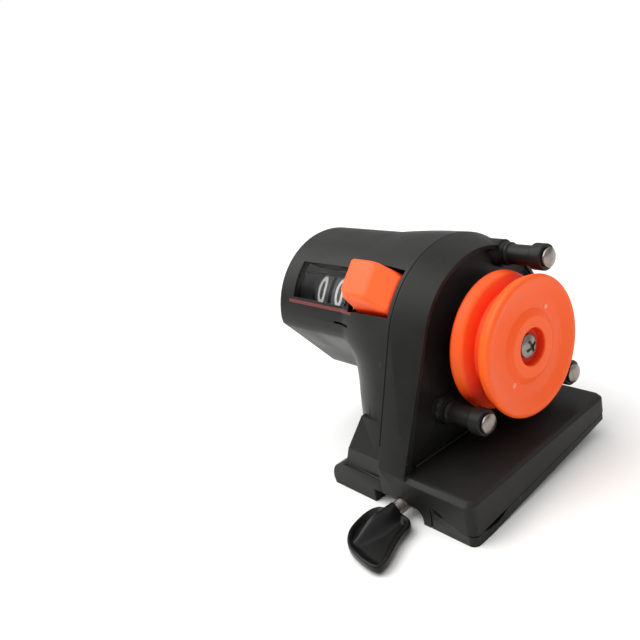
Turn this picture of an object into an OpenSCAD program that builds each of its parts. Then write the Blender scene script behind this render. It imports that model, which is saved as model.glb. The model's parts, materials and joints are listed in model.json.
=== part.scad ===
// Fishing line counter that clamps on a rod: a grooved wheel turns a three-digit counter.
// The wheel axis runs along X, the rod along Y. The origin is on the resting plane under the wheel.

/* [Line wheel] */
// Line drawn off by one turn, measured round the bottom of the groove
line_per_turn = 100; // [85:1:110]
// Diameter over the flanges
flange_d = 42; // [40:0.5:43]
// Width over both flanges
wheel_w = 13.5; // [12:0.1:14.5]
// Width of the flat at the bottom of the groove
groove_root_w = 2.4; // [1.6:0.1:3.2]
// Width of each flange at its rim
rim_w = 2.2; // [1.4:0.1:2.8]
// Depth of the dish in each flange
dish_depth = 1.2; // [0.6:0.1:1.6]
// Diameter of the raised ring round the hub
ring_d = 20; // [16:0.5:24]
// Diameter of the hub boss behind the wheel
hub_d = 10; // [9:0.5:12]
// Diameter of the recess that hides the screw
recess_d = 11.6; // [10.5:0.1:13]
// Depth of the screw recess
recess_depth = 3.2; // [2.8:0.1:4]
// Diameter of the axle
axle_d = 5; // [4.5:0.1:5.4]
// Height of the axle above the resting plane
axle_z = 38.5; // [38:0.5:42]
// Diameter of the wheel screw's head
screw_head_d = 8; // [7:0.1:9]
// Diameter of the wheel screw's thread
screw_d = 3; // [2.5:0.1:3.4]

/* [Guide posts] */
// Distance of each post from the wheel axis
post_r = 25.4; // [25.2:0.1:26.5]
// Angle of the top, front and rear post, from the rear, about the wheel axis
post_angles = [59.8, 213.7, -42.2]; // [-90:0.1:270]
// Height of the boss under each roller
post_boss_h = 2.8; // [2.4:0.1:3.2]
// Length of a roller
roller_l = 13.2; // [12:0.1:14]
// Diameter of a roller
roller_d = 6; // [5:0.1:6.8]
// Diameter of a roller's outer collar
roller_collar_d = 7.8; // [7:0.1:8]
// Width of that collar
roller_collar_w = 3.8; // [2.5:0.1:5]
// Diameter of a guide pin
pin_d = 3; // [2.4:0.1:3.4]
// Depth of a pin's seat in the frame
pin_seat_l = 5; // [4:0.1:5.5]
// Diameter of a pin's domed head
pin_head_d = 5.8; // [5:0.1:6.5]
// Thickness of a pin's head at its edge
pin_head_t = 0.7; // [0.5:0.1:1.2]

/* [Frame] */
// Side of the frame that faces the wheel
lip_x = -9.7; // [-10:0.1:-9]
// Depth of the recess inside the lip
lip_depth = 1.8; // [1.2:0.1:2.2]
// Width of the lip
lip_w = 1.1; // [0.8:0.1:2]
// Seam between the frame and the counter housing
seam_x = -20.1; // [-21:0.1:-19.8]
// Radius of the arch at the seam
arch_seam_r = 30.7; // [30:0.1:31.5]
// How much smaller the arch is at the lip
arch_draft = 3.3; // [2.5:0.1:4]
// Front of the base
base_front_y = -42; // [-44:0.5:-41]
// Rear of the base
base_rear_y = 25.5; // [25:0.5:28]
// Top of the base
base_top_z = 13; // [12.5:0.1:14]
// Right side of the base at the front
base_right_x = 13.6; // [12:0.1:15]
// How far that side draws in towards the rear
base_taper = 2.8; // [0:0.1:3.5]
// Radius of the base's upright corners
base_corner_r = 2.6; // [2:0.1:3.5]
// Rounding along the top edge of the base
base_edge = 1.2; // [0.6:0.1:1.5]
// Wall of the frame and of the housing
wall = 2; // [1.8:0.1:2.3]
// Height of the opening under the front of the frame
channel_z = 4.5; // [4:0.1:5]
// Height of the hinge space behind it
hinge_roof_z = 8.6; // [8.2:0.1:9]

/* [Counter housing] */
// Closed end of the drum
drum_end_x = -79; // [-81:0.1:-77.5]
// Radius of the drum
drum_r = 25.4; // [24.5:0.1:26]
// How far the drum's top lies below the top of the arch
drum_drop = 1.4; // [0.5:0.1:2]
// Where the drum starts to flare towards the seam
flare_x = -46; // [-48:0.5:-44]
// Rounding of the drum's end
rim_r = 1.6; // [1:0.1:2.5]
// Distance of the slanted lower sides from the drum's axis
keel_r = 19.6; // [19.4:0.1:21]
// Direction of those sides, from straight up
keel_angle = 128.7; // [124:0.1:132]
// Underside of the drum
drum_floor_z = 20; // [19:0.1:21]
// Top of the buttress
buttress_z = 25.6; // [24.5:0.1:27]
// Left end of the buttress's top
buttress_x = -28.6; // [-29.5:0.1:-27.5]
// Slope of the buttress's side, from upright
buttress_slope = 24; // [20:1:28]
// Left end of the foot
foot_left_x = -43; // [-46:0.5:-41]
// Right end of the foot
foot_right_x = -24; // [-25:0.1:-23]
// Height of the foot where it meets the buttress
foot_h = 8.7; // [7.5:0.1:9.5]
// Step of the foot in front of the buttress
foot_step = 0.8; // [0.4:0.1:1.5]

/* [Window] */
// Left end of the window
window_left_x = -70.6; // [-72:0.1:-70]
// Right end of the window
window_right_x = -42.4; // [-43.5:0.1:-42.2]
// Direction of the window's middle, from straight up towards the front
window_angle = 52.4; // [51:0.1:54]
// Height of the window along the drum's skin
window_h = 12.4; // [11:0.1:13]
// Thickness of the clear lens
lens_t = 1; // [0.8:0.1:1.4]
// Length of the drain slot under the window
slot_l = 8; // [6:0.5:9]
// Width of the drain slot
slot_w = 0.8; // [0.6:0.1:1.2]
// Direction of the drain slot
slot_angle = 79; // [77:0.5:81]

/* [Counter] */
// Radius of a number wheel
number_r = 16.2; // [15.5:0.1:16.4]
// Width of a number wheel
number_w = 7.2; // [6.5:0.1:7.4]
// Distance between number wheels
number_pitch = 8.9; // [8.6:0.05:9]
// Middle of the units wheel
units_x = -47.7; // [-48.5:0.1:-47.5]
// Diameter of the number wheels' shaft
number_shaft_d = 3; // [2.6:0.1:3.4]
// Diameter of a number wheel's hub
number_hub_d = 6; // [5.4:0.1:6.6]
// Space between the number wheels and the window
number_gap = 6.4; // [5.8:0.1:7]
// Thickness of a number wheel's web and rim
number_wall = 1.6; // [1.2:0.1:2]
// Diameter of the carry pinions' shaft
carry_shaft_d = 2; // [1.6:0.1:2.4]
// Teeth of a carry pinion
carry_teeth = 8; // [8:1:10]
// Module of a carry pinion
carry_module = 0.55; // [0.5:0.01:0.58]
// Width of a carry pinion
carry_w = 3; // [2:0.1:4]

/* [Gear train] */
// Module of the gears
gear_module = 0.4; // [0.38:0.01:0.41]
// Teeth of each pinion
pinion_teeth = 10; // [10:1:10]
// Teeth of the first and second lay gear
lay_teeth = 50; // [49:1:50]
// Teeth of the gear that drives the units wheel
drive_teeth = 40; // [40:1:41]
// Width of each gear
gear_w = 2; // [1.6:0.1:2.2]
// Direction of the first lay gear from the axle, from the rear
lay_angle = -25; // [-28:1:-22]
// Diameter of the lay gears' pins
lay_pin_d = 2; // [1.6:0.1:2.1]
// Thickness of the gear plate
gear_plate_t = 1.5; // [1.2:0.1:1.8]
// Pressure angle of the teeth
pressure_angle = 25; // [22:1:26]
// Play between meshing teeth at the pitch line
backlash = 0.12; // [0.1:0.01:0.16]

/* [Reset button] */
// Direction of the button, from straight up towards the front
button_angle = 48.5; // [47:0.1:50]
// Left side of the button
button_left_x = -41; // [-41.2:0.1:-40]
// Right side of the button
button_right_x = -22; // [-23:0.1:-21.8]
// Ridge between the flat and the sloping face
ridge_x = -30.5; // [-33:0.1:-28]
// Height of the flat above the drum's skin
button_rise = 6; // [5:0.1:7]
// Height of the sloping face above the drum's skin, at its right edge
button_low_rise = 1.8; // [1.4:0.1:3]
// Upper end of the sloping face's right edge, round the drum
button_right_y = 2.8; // [1.5:0.1:4]
// Width of the flat, round the drum
button_flat_w = 11.6; // [10:0.1:13]
// Rounding of the button's edges
button_edge = 0.9; // [0.5:0.1:1.2]
// Travel of the button
button_travel = 2.5; // [1.5:0.1:2.6]
// Diameter of the return spring
spring_d = 4.8; // [4:0.1:5.4]
// Thickness of the reset comb
comb_t = 1.5; // [1.2:0.1:1.8]

/* [Rod clamp] */
// Position of the clamp bolt across the frame
bolt_x = -12; // [-12.5:0.1:-11]
// Height of the clamp bolt
bolt_z = 3.9; // [3.8:0.1:4.4]
// Diameter of the clamp bolt
bolt_d = 4; // [3.4:0.1:4.4]
// Diameter of the hinge knuckles
knuckle_d = 7.2; // [6.6:0.1:7.4]
// Width across the flats of the nut
nut_af = 7; // [6.6:0.1:7.2]
// Thickness of the nut
nut_t = 3.2; // [2.4:0.1:3.4]
// Height of the split between base and jaw at the front, at the pads' middle
split_z = 5.9; // [5.6:0.1:6.2]
// Position of the pads across the base
pad_x = 1.1; // [0.6:0.1:2]
// Width of a pad
pad_w = 4.2; // [3:0.1:5]
// Thickness of a pad
pad_t = 1.3; // [1:0.1:1.5]
// Fall of the split towards the right, in degrees
split_fall = 14; // [10:0.5:15]
// Rise of the split towards the rear, in degrees
split_rise = 2.9; // [2:0.1:3.2]
// Rise of the jaw's underside towards the rear, in degrees
jaw_rise = 4.8; // [3.5:0.1:5]
// Thickness of the paddle
paddle_t = 2.8; // [2.2:0.1:3.4]
// Drop of the paddle's upper face below the bolt's axis
paddle_drop = 0.4; // [0:0.1:0.8]
// Radius of the paddle's rib round the bolt
paddle_rib_r = 3.1; // [2.8:0.1:3.5]
// Length of the paddle
paddle_l = 21.1; // [18:0.1:26]
// Width of the paddle at the bolt
paddle_w = 15.4; // [13:0.1:17]
// Reach of the paddle's toe beside the bolt
paddle_toe = 13.1; // [11:0.1:15]
// Depth of the paddle's dished face
paddle_dish = 1.1; // [0.6:0.1:1.5]

/* [Fits] */
// Radial play of a turning fit
run_gap = 0.05; // [0.02:0.01:0.09]
// Radial play of a fixed fit
fixed_gap = 0.02; // [0.01:0.01:0.04]
// Space between pieces that pass each other
clear = 0.4; // [0.3:0.05:0.5]

/* [Hidden] */
$fn = 96;

// Colours of the pieces
black_plastic = "#2b2b29";
orange_plastic = "#ff6a2e";
steel = "#b9b9b4";
brass = "#b08d4a";
white_plastic = "#d9d7cf";
dark_plastic = "#3a3a3a";
rubber = "#1c1c1c";

// Frame, drum and base: values that follow from the sizes above
arch_r = arch_seam_r - arch_draft;
drum_z = axle_z + arch_seam_r - drum_r - drum_drop;
far = 2 * (base_rear_y - base_front_y);

// Lens: its outer face lies a little below the drum's skin, with the number wheels behind it
lens_r = drum_r - clear;
number_offset = lens_r - lens_t - number_gap - number_r;

// Line wheel and axle
flange_r = flange_d / 2;
groove_r = line_per_turn / (2 * PI);
axle_r = axle_d / 2;
wheel_right = wheel_w / 2;
wheel_left = -wheel_w / 2;
recess_floor_x = wheel_right - recess_depth;
washer_t = 0.8;
screw_head_t = 1.7;
face_x = lip_x - lip_depth;
seal_t = 0.7;
bush_flange_t = 1.2;
bush_flange_r = axle_r + 2.6;
bush_r = axle_r + 1.5;
bush_front_x = face_x + bush_flange_t;
bush_rear_x = seam_x - 0.2;
seal_front_x = bush_front_x + seal_t;
hub_end_x = seal_front_x + 0.2;
clip_t = 0.6;
clip_x = bush_rear_x - 0.15 - clip_t;
clip_groove_r = axle_r - 0.5;
axle_end_x = clip_x - 0.5;
stub_r = axle_r - 1.3;
stub_l = 5;

// Gears sit in three planes behind the seam, the gear plate between the second and third
plane_1 = axle_end_x - 0.6;
plane_2 = plane_1 - gear_w - 0.8;
gear_plate_x = plane_2 - gear_w - 0.9;
plane_3 = gear_plate_x - gear_plate_t - 0.8;
lay_distance = gear_module * (pinion_teeth + lay_teeth) / 2;
drive_distance = gear_module * (pinion_teeth + drive_teeth) / 2;
window_dir = [-sin(window_angle), cos(window_angle)];
axle_at = [0, axle_z];
drum_at = [0, drum_z];
number_at = drum_at + number_offset * window_dir;
lay_1_at = axle_at + lay_distance * [cos(lay_angle), sin(lay_angle)];
// Second lay gear: where circles round the first lay gear and the number shaft cross, on the rear side
to_number = number_at - lay_1_at;
span = norm(to_number);
along = (pow(lay_distance, 2) - pow(drive_distance, 2) + pow(span, 2)) / (2 * span);
aside = sqrt(pow(lay_distance, 2) - pow(along, 2));
lay_2_at = lay_1_at + along * to_number / span + aside * [to_number[1], -to_number[0]] / span;
lay_pin_r = lay_pin_d / 2;
lay_pin_seat = 3.5;

// Phases that bring the teeth into mesh at rest
function bearing(a, b) = atan2(b[1] - a[1], b[0] - a[0]);
function mesh_phase(theta, teeth_a, phase_a, teeth_b) =
    theta + 180 - (0.5 - (theta - phase_a) * teeth_a / 360) * 360 / teeth_b;
phase_lay_1 = mesh_phase(lay_angle, pinion_teeth, 0, lay_teeth);
phase_lay_2 = mesh_phase(bearing(lay_1_at, lay_2_at), pinion_teeth, 0, lay_teeth);
phase_drive = mesh_phase(bearing(lay_2_at, number_at), pinion_teeth, 0, drive_teeth);

// Number wheels and carry pinions
number_shaft_r = number_shaft_d / 2;
number_hub_r = number_hub_d / 2;
cam_r = number_hub_r + 1.2;
cam_shift = 0.5;
number_hub_l = number_pitch - 0.3;
end_wall_x = drum_end_x + wall;
boss_l = 4;
carry_shaft_r = carry_shaft_d / 2;
carry_tip_r = carry_module * (carry_teeth / 2 + 0.8);
carry_angle = 10;
carry_at = number_at + (number_r + carry_tip_r + clear) * [cos(carry_angle), sin(carry_angle)];

// Gear plate pillars
pillar_at = [axle_at + [-13, -3], axle_at + [4, 22]];
pillar_r = 2.6;
pillar_screw_r = 1;
pillar_head_r = 1.9;
pillar_head_t = 1.2;

// Housing screws: along X, low in the frame
housing_screw_y = [-30, 15];
housing_screw_z = 10.9;
housing_screw_r = 1.25;
housing_head_r = 2.3;
housing_head_t = 1.6;
housing_boss_r = 3.4;
housing_seat_x = seam_x - 6;
housing_screw_tip_x = lip_x - 3;

// Drain slot: how far it runs past the window's right end
slot_past = 1.2;

// Guide posts
post_at = [for (a = post_angles) axle_at + post_r * [cos(a), sin(a)]];
pin_r = pin_d / 2;
post_boss_r = roller_collar_d / 2 + 0.3;
post_boss_x = face_x + post_boss_h;
roller_left_x = post_boss_x + 0.2;
roller_right_x = roller_left_x + roller_l;
pin_head_x = roller_right_x + 0.2;
pin_seat_x = face_x - pin_seat_l;

// Reset button and comb, in the button's own frame on the drum
button_low_y = -9;
button_high_y = 7;
button_top = drum_r + button_rise;
button_low = drum_r + button_low_rise;
button_seat = drum_r - 3;
spring_shelf = button_seat - button_travel - 1.5;
shelf_t = 1.5;
shelf_half_y = 3;
spring_x = gear_plate_x - gear_plate_t - spring_d / 2 - 0.6;
shelf_x = spring_x - spring_d / 2 - 0.5;
comb_x = button_left_x + 0.4;
comb_gap = 0.05;
comb_tab = [0, 5];
comb_bar_h = 3;
comb_bar_t = 2.4;
comb_reach = drum_r - wall - 3 * clear;
comb_bar_y = sqrt(pow(comb_reach, 2) - pow(number_offset + comb_bar_h / 2, 2)) - comb_bar_t / 2;
comb_end_x = units_x - 2.5 * number_pitch - 1.2;
finger_t = 0.7;
finger_h = 2;
finger_tip_y = cam_r + 3;

// Rod clamp
bolt_r = bolt_d / 2;
knuckle_r = knuckle_d / 2;
front_wall = 2.5;
corner_right_x = pad_x - pad_w / 2 - 0.4;
corner_left_x = corner_right_x - 3.2;
corner_rear_y = base_front_y + 5;
corner_fillet = 3;
jaw_left_x = corner_right_x - 1.2;
hinge_right_x = corner_right_x + 1.8;
split_gap = 0.3;
corner_arc_r = corner_right_x - bolt_x;
pad_gap = 0.6;
hinge_left_x = bolt_x - knuckle_r - 1;
lug_front = [corner_rear_y, corner_rear_y + 6];
lug_middle = [-14, 2];
lug_rear = [base_rear_y - 8.5, base_rear_y - 4];
knuckle_front = [lug_front[1] + clear, lug_middle[0] - clear];
knuckle_rear = [lug_middle[1] + clear, lug_rear[0] - clear];
collar_t = 1.8;
collar_r = bolt_r + 1.1;
arm_t = 3.8;
jaw_flat_y = base_front_y + 7;
jaw_front_y = base_front_y + 0.1;
jaw_rear_y = base_rear_y - 0.8;
paddle_gap = 2.6;
bolt_at = [bolt_x, bolt_z];

// Helpers: shapes laid along X or Y, with outlines drawn in the plane across
module along_x(x0, x1) translate([x0, 0, 0]) rotate([90, 0, 90]) linear_extrude(x1 - x0) children();
module along_y(y0, y1) translate([0, y1, 0]) rotate([90, 0, 0]) linear_extrude(y1 - y0) children();
module rod_x(x0, x1, r, at = [0, 0]) translate([x0, at[0], at[1]]) rotate([0, 90, 0])
    cylinder(h = x1 - x0, r = r);
module rod_y(y0, y1, r, at) translate([at[0], y0, at[1]]) rotate([-90, 0, 0]) cylinder(h = y1 - y0, r = r);
module turned_x(at = [0, 0]) translate([0, at[0], at[1]]) rotate([0, 90, 0]) rotate_extrude() children();
module ring_x(x0, x1, inner_r, outer_r, at = [0, 0]) turned_x(at)
    polygon([[inner_r, x0], [outer_r, x0], [outer_r, x1], [inner_r, x1]]);

// Frame of a feature on the drum: x stays, y runs round the drum upwards, z points out of the drum
module on_drum(angle) translate([0, 0, drum_z]) rotate([angle, 0, 0]) children();

// Plane of the split between base and jaw, with its origin at the front under the pads' middle
module on_split() translate([pad_x, base_front_y, split_z]) rotate([split_rise, split_fall, 0]) children();

// Toothed outline: straight-sided approximation to an involute, through root, pitch line and tip
function involute(r, base) = r <= base ? 0 : tan(acos(base / r)) * 180 / PI - acos(base / r);
module gear_outline(teeth, m, phase = 0) {
    pitch_r = m * teeth / 2;
    base = pitch_r * cos(pressure_angle);
    root_r = pitch_r - 1.1 * m;
    tip_r = pitch_r + 0.8 * m;
    half_pitch = 90 / teeth - backlash / 4 / pitch_r * 180 / PI;
    radii = [root_r, max(base, root_r + 0.01), pitch_r, tip_r];
    half = [for (r = radii) half_pitch + involute(pitch_r, base) - involute(r, base)];
    polygon([for (k = [0 : teeth - 1], i = [0 : 7])
        let (j = i < 4 ? i : 7 - i, side = i < 4 ? -1 : 1, a = phase + k * 360 / teeth + side * half[j])
        radii[j] * [cos(a), sin(a)]]);
}
module gear(x0, x1, teeth, m, at, phase = 0) along_x(x0, x1) translate(at) gear_outline(teeth, m, phase);

// Lean of a flank that runs from the seam's arch to a corner of the base
function lean_to(y) = atan2(abs(y), base_top_z - axle_z)
    - acos(arch_seam_r / norm([y, base_top_z - axle_z]));
front_lean = lean_to(base_front_y);
rear_lean = lean_to(base_rear_y);
// Skin of the drum: distance from the drum's axis in direction a, from straight up towards the front
function drum_radius(a) = min(
    drum_r,
    abs(a) > keel_angle - 85 ? keel_r / max(cos(abs(a) - keel_angle), 0.01) : drum_r,
    abs(a) > 95 ? (drum_z - drum_floor_z) / max(cos(180 - abs(a)), 0.01) : drum_r);
rise = drum_z - axle_z;
function arch_radius(a) = -rise * cos(a) + sqrt(pow(rise * cos(a), 2) - pow(rise, 2) + pow(arch_seam_r, 2));
function flank_radius(a, lean) = (arch_seam_r - rise * cos(lean)) / max(cos(abs(a) - lean), 0.01);
function tangent_angle(lean) = atan2(arch_seam_r * sin(lean), arch_seam_r * cos(lean) - rise);
function side_radius(a, lean) = abs(a) < tangent_angle(lean) ? arch_radius(a) : flank_radius(a, lean);
function seam_radius(a) = min(
    side_radius(a, a > 0 ? front_lean : rear_lean),
    abs(a) > 95 ? (drum_z - drum_floor_z) / max(cos(180 - abs(a)), 0.01) : 1000);
function flare(x) = x < flare_x ? 0 : 1 - pow((seam_x - x) / (seam_x - flare_x), 2);
function skin_radius(x, a) = drum_radius(a) + flare(x) * (seam_radius(a) - drum_radius(a));

// Body lofted along X through rings of skin points; each station is a place and an inset
skin_steps = 72;
function skin_ring(station) = [for (k = [0 : skin_steps - 1])
    let (a = -180 + k * 360 / skin_steps, r = skin_radius(station[0], a) - station[1])
    [station[0], -r * sin(a), drum_z + r * cos(a)]];
module skin_loft(stations) {
    last = len(stations) - 1;
    left = len(stations) * skin_steps;
    points = concat([for (s = stations) each skin_ring(s)],
        [[stations[0][0], 0, drum_z], [stations[last][0], 0, drum_z]]);
    sides = [for (i = [0 : last - 1], k = [0 : skin_steps - 1], half = [0, 1])
        let (a = i * skin_steps + k, b = i * skin_steps + (k + 1) % skin_steps)
        half == 0 ? [a, a + skin_steps, b + skin_steps] : [a, b + skin_steps, b]];
    ends = [for (k = [0 : skin_steps - 1], half = [0, 1])
        let (next = (k + 1) % skin_steps)
        half == 0 ? [k, next, left] : [last * skin_steps + next, last * skin_steps + k, left + 1]];
    polyhedron(points, concat(sides, ends));
}
flare_steps = 8;
flare_stations = [for (k = [0 : flare_steps]) flare_x + (seam_x - flare_x) * k / flare_steps];

module drum_skin() skin_loft(concat(
    [for (a = [0 : 30 : 90]) [drum_end_x + rim_r * (1 - cos(a)), rim_r * (1 - sin(a))]],
    [for (x = flare_stations) [x, 0]]));
module drum_hollow() skin_loft(concat(
    [[end_wall_x, wall]],
    [for (x = flare_stations) [x, wall]],
    [[seam_x + 1, wall]]));

// Outline of the foot and buttress, seen from the front
buttress_low_x = buttress_x - (buttress_z - foot_h - 2) * tan(buttress_slope);
foot_round = foot_h - 2;
module buttress_outline() polygon([
    [seam_x, channel_z], [seam_x, buttress_z], [buttress_x, buttress_z],
    [buttress_low_x, foot_h + 2], [buttress_low_x - 1.2, foot_h], [buttress_low_x - 1.2, channel_z]]);
module foot_outline() {
    polygon([[foot_right_x, 0], [foot_right_x, channel_z + 0.01], [seam_x, channel_z + 0.01],
        [seam_x, foot_h], [foot_left_x + foot_round, foot_h], [foot_left_x + foot_round, 2],
        [foot_left_x, 2], [foot_left_x + 0.5, 0]]);
    translate([foot_left_x + foot_round, 2]) intersection() {
        circle(r = foot_round);
        translate([-foot_round, 0]) square(foot_round);
    }
}
module buttress_hollow_outline() polygon([
    [seam_x + 0.1, foot_h], [seam_x + 0.1, buttress_z - wall], [buttress_x + 1, buttress_z - wall],
    [buttress_low_x + wall + 1, foot_h + 2.2], [buttress_low_x + wall + 1, foot_h]]);

// Cuts what passes the frame's flanks, or an inset inside them
module inside_flanks(inset) difference() {
    children();
    for (lean = [front_lean, -rear_lean])
        translate([0, 0, axle_z]) rotate([lean, 0, 0]) translate([-far, -far, arch_seam_r - inset])
        cube([2 * far, 2 * far, far]);
}

module counter_housing() color(black_plastic) difference() {
    union() {
        difference() {
            union() {
                drum_skin();
                inside_flanks(0) along_y(base_front_y + foot_step, base_rear_y - 1) buttress_outline();
                along_y(base_front_y, base_rear_y) foot_outline();
            }
            drum_hollow();
            inside_flanks(wall) along_y(base_front_y + foot_step + wall, base_rear_y - 1 - wall)
                buttress_hollow_outline();
        }
        rod_x(end_wall_x - 0.5, end_wall_x + boss_l, number_hub_r, number_at);
        rod_x(end_wall_x - 0.5, end_wall_x + boss_l, carry_shaft_r + 1.2, carry_at);
        for (y = housing_screw_y) rod_x(housing_seat_x - 5, seam_x, housing_boss_r, [y, housing_screw_z]);
    }
    rod_x(end_wall_x - 0.6, end_wall_x + boss_l + 0.1, number_shaft_r + fixed_gap, number_at);
    rod_x(end_wall_x - 0.6, end_wall_x + boss_l + 0.1, carry_shaft_r + fixed_gap, carry_at);
    for (y = housing_screw_y) {
        rod_x(foot_left_x - 1, housing_seat_x, housing_head_r + clear / 2, [y, housing_screw_z]);
        rod_x(housing_seat_x - 1, seam_x + 1, housing_screw_r + fixed_gap, [y, housing_screw_z]);
    }
    window_cut();
    button_cut();
    slot_cut();
}

module window_cut() on_drum(window_angle) translate([window_left_x, -window_h / 2, drum_r / 2])
    cube([window_right_x - window_left_x, window_h, drum_r]);
module button_cut() on_drum(button_angle)
    translate([0, 0, button_seat - button_travel - 3]) linear_extrude(drum_r) button_outline(clear);
module button_outline(grow) polygon([
    [button_left_x - grow, button_low_y - grow], [button_right_x + grow, button_low_y - grow],
    [button_right_x + grow, button_right_y + 2.2 + grow], [button_left_x - grow, button_high_y + grow]]);
module slot_cut() on_drum(slot_angle)
    translate([window_right_x + slot_past - slot_l, -slot_w / 2, drum_r - wall - 1])
    cube([slot_l, slot_w, drum_r]);

module window_lens() color(white_plastic, 0.4) intersection() {
    ring_x(window_left_x + fixed_gap, window_right_x - fixed_gap, lens_r - lens_t, lens_r, drum_at);
    on_drum(window_angle) translate([window_left_x, -window_h / 2 + fixed_gap, drum_r / 2])
        cube([window_right_x - window_left_x, window_h - 2 * fixed_gap, drum_r]);
}

// Frame: an arched plate that stands on the base
module frame_plate() hull() {
    rod_x(seam_x, seam_x + 0.5, arch_seam_r, axle_at);
    rod_x(lip_x - 1, lip_x, arch_r, axle_at);
    translate([seam_x, base_front_y, channel_z])
        cube([lip_x - seam_x, base_rear_y - base_front_y, base_top_z - channel_z]);
}
module frame_recess() hull() {
    rod_x(face_x, lip_x + 1, arch_r - lip_w, axle_at);
    translate([face_x, base_front_y + 2.5 * lip_w, base_top_z])
        cube([lip_depth + 1, base_rear_y - base_front_y - 4 * lip_w, 0.1]);
}
module frame_pocket() hull() {
    rod_x(seam_x - 1, face_x - wall, arch_r - wall, axle_at);
    translate([seam_x - 1, base_front_y + 4 * wall, base_top_z + wall])
        cube([face_x - wall - seam_x + 1, base_rear_y - base_front_y - 6 * wall, 0.1]);
}
base_corners = [
    [lip_x, base_front_y + base_corner_r], [base_right_x - base_corner_r, base_front_y + base_corner_r],
    [base_right_x - base_taper - base_corner_r, base_rear_y - base_corner_r],
    [lip_x, base_rear_y - base_corner_r]
];
module base_slab() hull() for (c = base_corners) translate(c) {
    cylinder(h = base_top_z - base_edge, r = base_corner_r, $fn = 32);
    cylinder(h = base_top_z, r = base_corner_r - base_edge, $fn = 32);
}
module below_split(gap, arc_r, arc_end_y) difference() {
    on_split() translate([-far / 2, -far / 2, -far]) cube([far, 2 * far, far - gap]);
    translate([-far, -far, -far]) cube([far + corner_left_x, 2 * far, 2 * far]);
    rod_y(base_front_y - far, arc_end_y, arc_r, bolt_at);
}
module channel_outline() {
    translate([seam_x - 10, -1]) square([corner_left_x - corner_fillet - seam_x + 10, channel_z + 1]);
    translate([seam_x - 10, -1]) square([corner_left_x - seam_x + 10, channel_z - corner_fillet + 1]);
    translate([corner_left_x - corner_fillet, channel_z - corner_fillet]) circle(r = corner_fillet);
}
module hinge_space() {
    translate([hinge_left_x, base_front_y + front_wall, -1])
        cube([corner_left_x - hinge_left_x, base_rear_y - base_front_y, hinge_roof_z + 1]);
    translate([hinge_left_x, corner_rear_y, -1])
        cube([hinge_right_x - hinge_left_x, base_rear_y - base_front_y, hinge_roof_z + 1]);
}
module lug(range) along_y(range[0], range[1]) {
    translate([bolt_x, bolt_z]) circle(r = knuckle_r);
    translate([bolt_x - knuckle_r, bolt_z]) square([knuckle_d, hinge_roof_z + 0.5 - bolt_z]);
}
module main_frame() color(black_plastic) difference() {
    union() {
        difference() {
            union() {
                frame_plate();
                base_slab();
            }
            frame_recess();
            frame_pocket();
            hinge_space();
            along_y(base_front_y - 1, base_rear_y + 1) channel_outline();
            below_split(-split_gap / 2, corner_arc_r, corner_rear_y);
        }
        rod_x(seam_x, face_x - 0.1, bush_r + 2.2, axle_at);
        for (at = [lay_1_at, lay_2_at]) rod_x(seam_x - 0.8, face_x - 0.1, lay_pin_r + 1.4, at);
        for (at = pillar_at) rod_x(gear_plate_x, face_x - 0.1, pillar_r, at);
        for (at = post_at) {
            rod_x(seam_x + 3, face_x + 1.4, post_boss_r, at);
            rod_x(face_x, post_boss_x, post_boss_r - 0.7, at);
        }
        for (range = [lug_front, lug_middle, lug_rear]) lug(range);
    }
    rod_x(seam_x - 1, lip_x, bush_r + fixed_gap, axle_at);
    for (at = [lay_1_at, lay_2_at])
        rod_x(seam_x - 1, seam_x + lay_pin_seat + 0.1, lay_pin_r + fixed_gap, at);
    for (at = pillar_at) rod_x(gear_plate_x - 1, gear_plate_x + 6.2, pillar_screw_r + fixed_gap, at);
    for (at = post_at) rod_x(pin_seat_x - 0.1, post_boss_x + 0.1, pin_r + fixed_gap, at);
    for (y = housing_screw_y)
        rod_x(seam_x - 1, housing_screw_tip_x + 0.2, housing_screw_r + fixed_gap, [y, housing_screw_z]);
    rod_y(base_front_y - 1, base_front_y + front_wall + 0.1, bolt_r + clear, [bolt_x, bolt_z]);
    rod_y(base_front_y, base_rear_y + 1, bolt_r + run_gap, [bolt_x, bolt_z]);
    on_split() pad_block(fixed_gap, 1);
}

// Rubber pads on both sides of the split; side is 1 above it and -1 below
// The lower one starts behind the frame's front corner, so that it passes it as the jaw swings
pad_front = 0.3;
pad_rear = base_rear_y - base_front_y - 1.2;
jaw_pad_front = corner_rear_y - base_front_y + clear;
module pad_block(grow, side) {
    open = grow * 20;
    front = side > 0 ? pad_front : jaw_pad_front;
    translate([-pad_w / 2 - grow, front - grow, side > 0 ? pad_gap / 2 - open : -pad_gap / 2 - pad_t])
        cube([pad_w + 2 * grow, pad_rear - front + 2 * grow, pad_t + open]);
}
module base_pad() color(rubber) on_split() pad_block(0, 1);
module jaw_pad() color(rubber) on_split() pad_block(0, -1);

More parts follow.
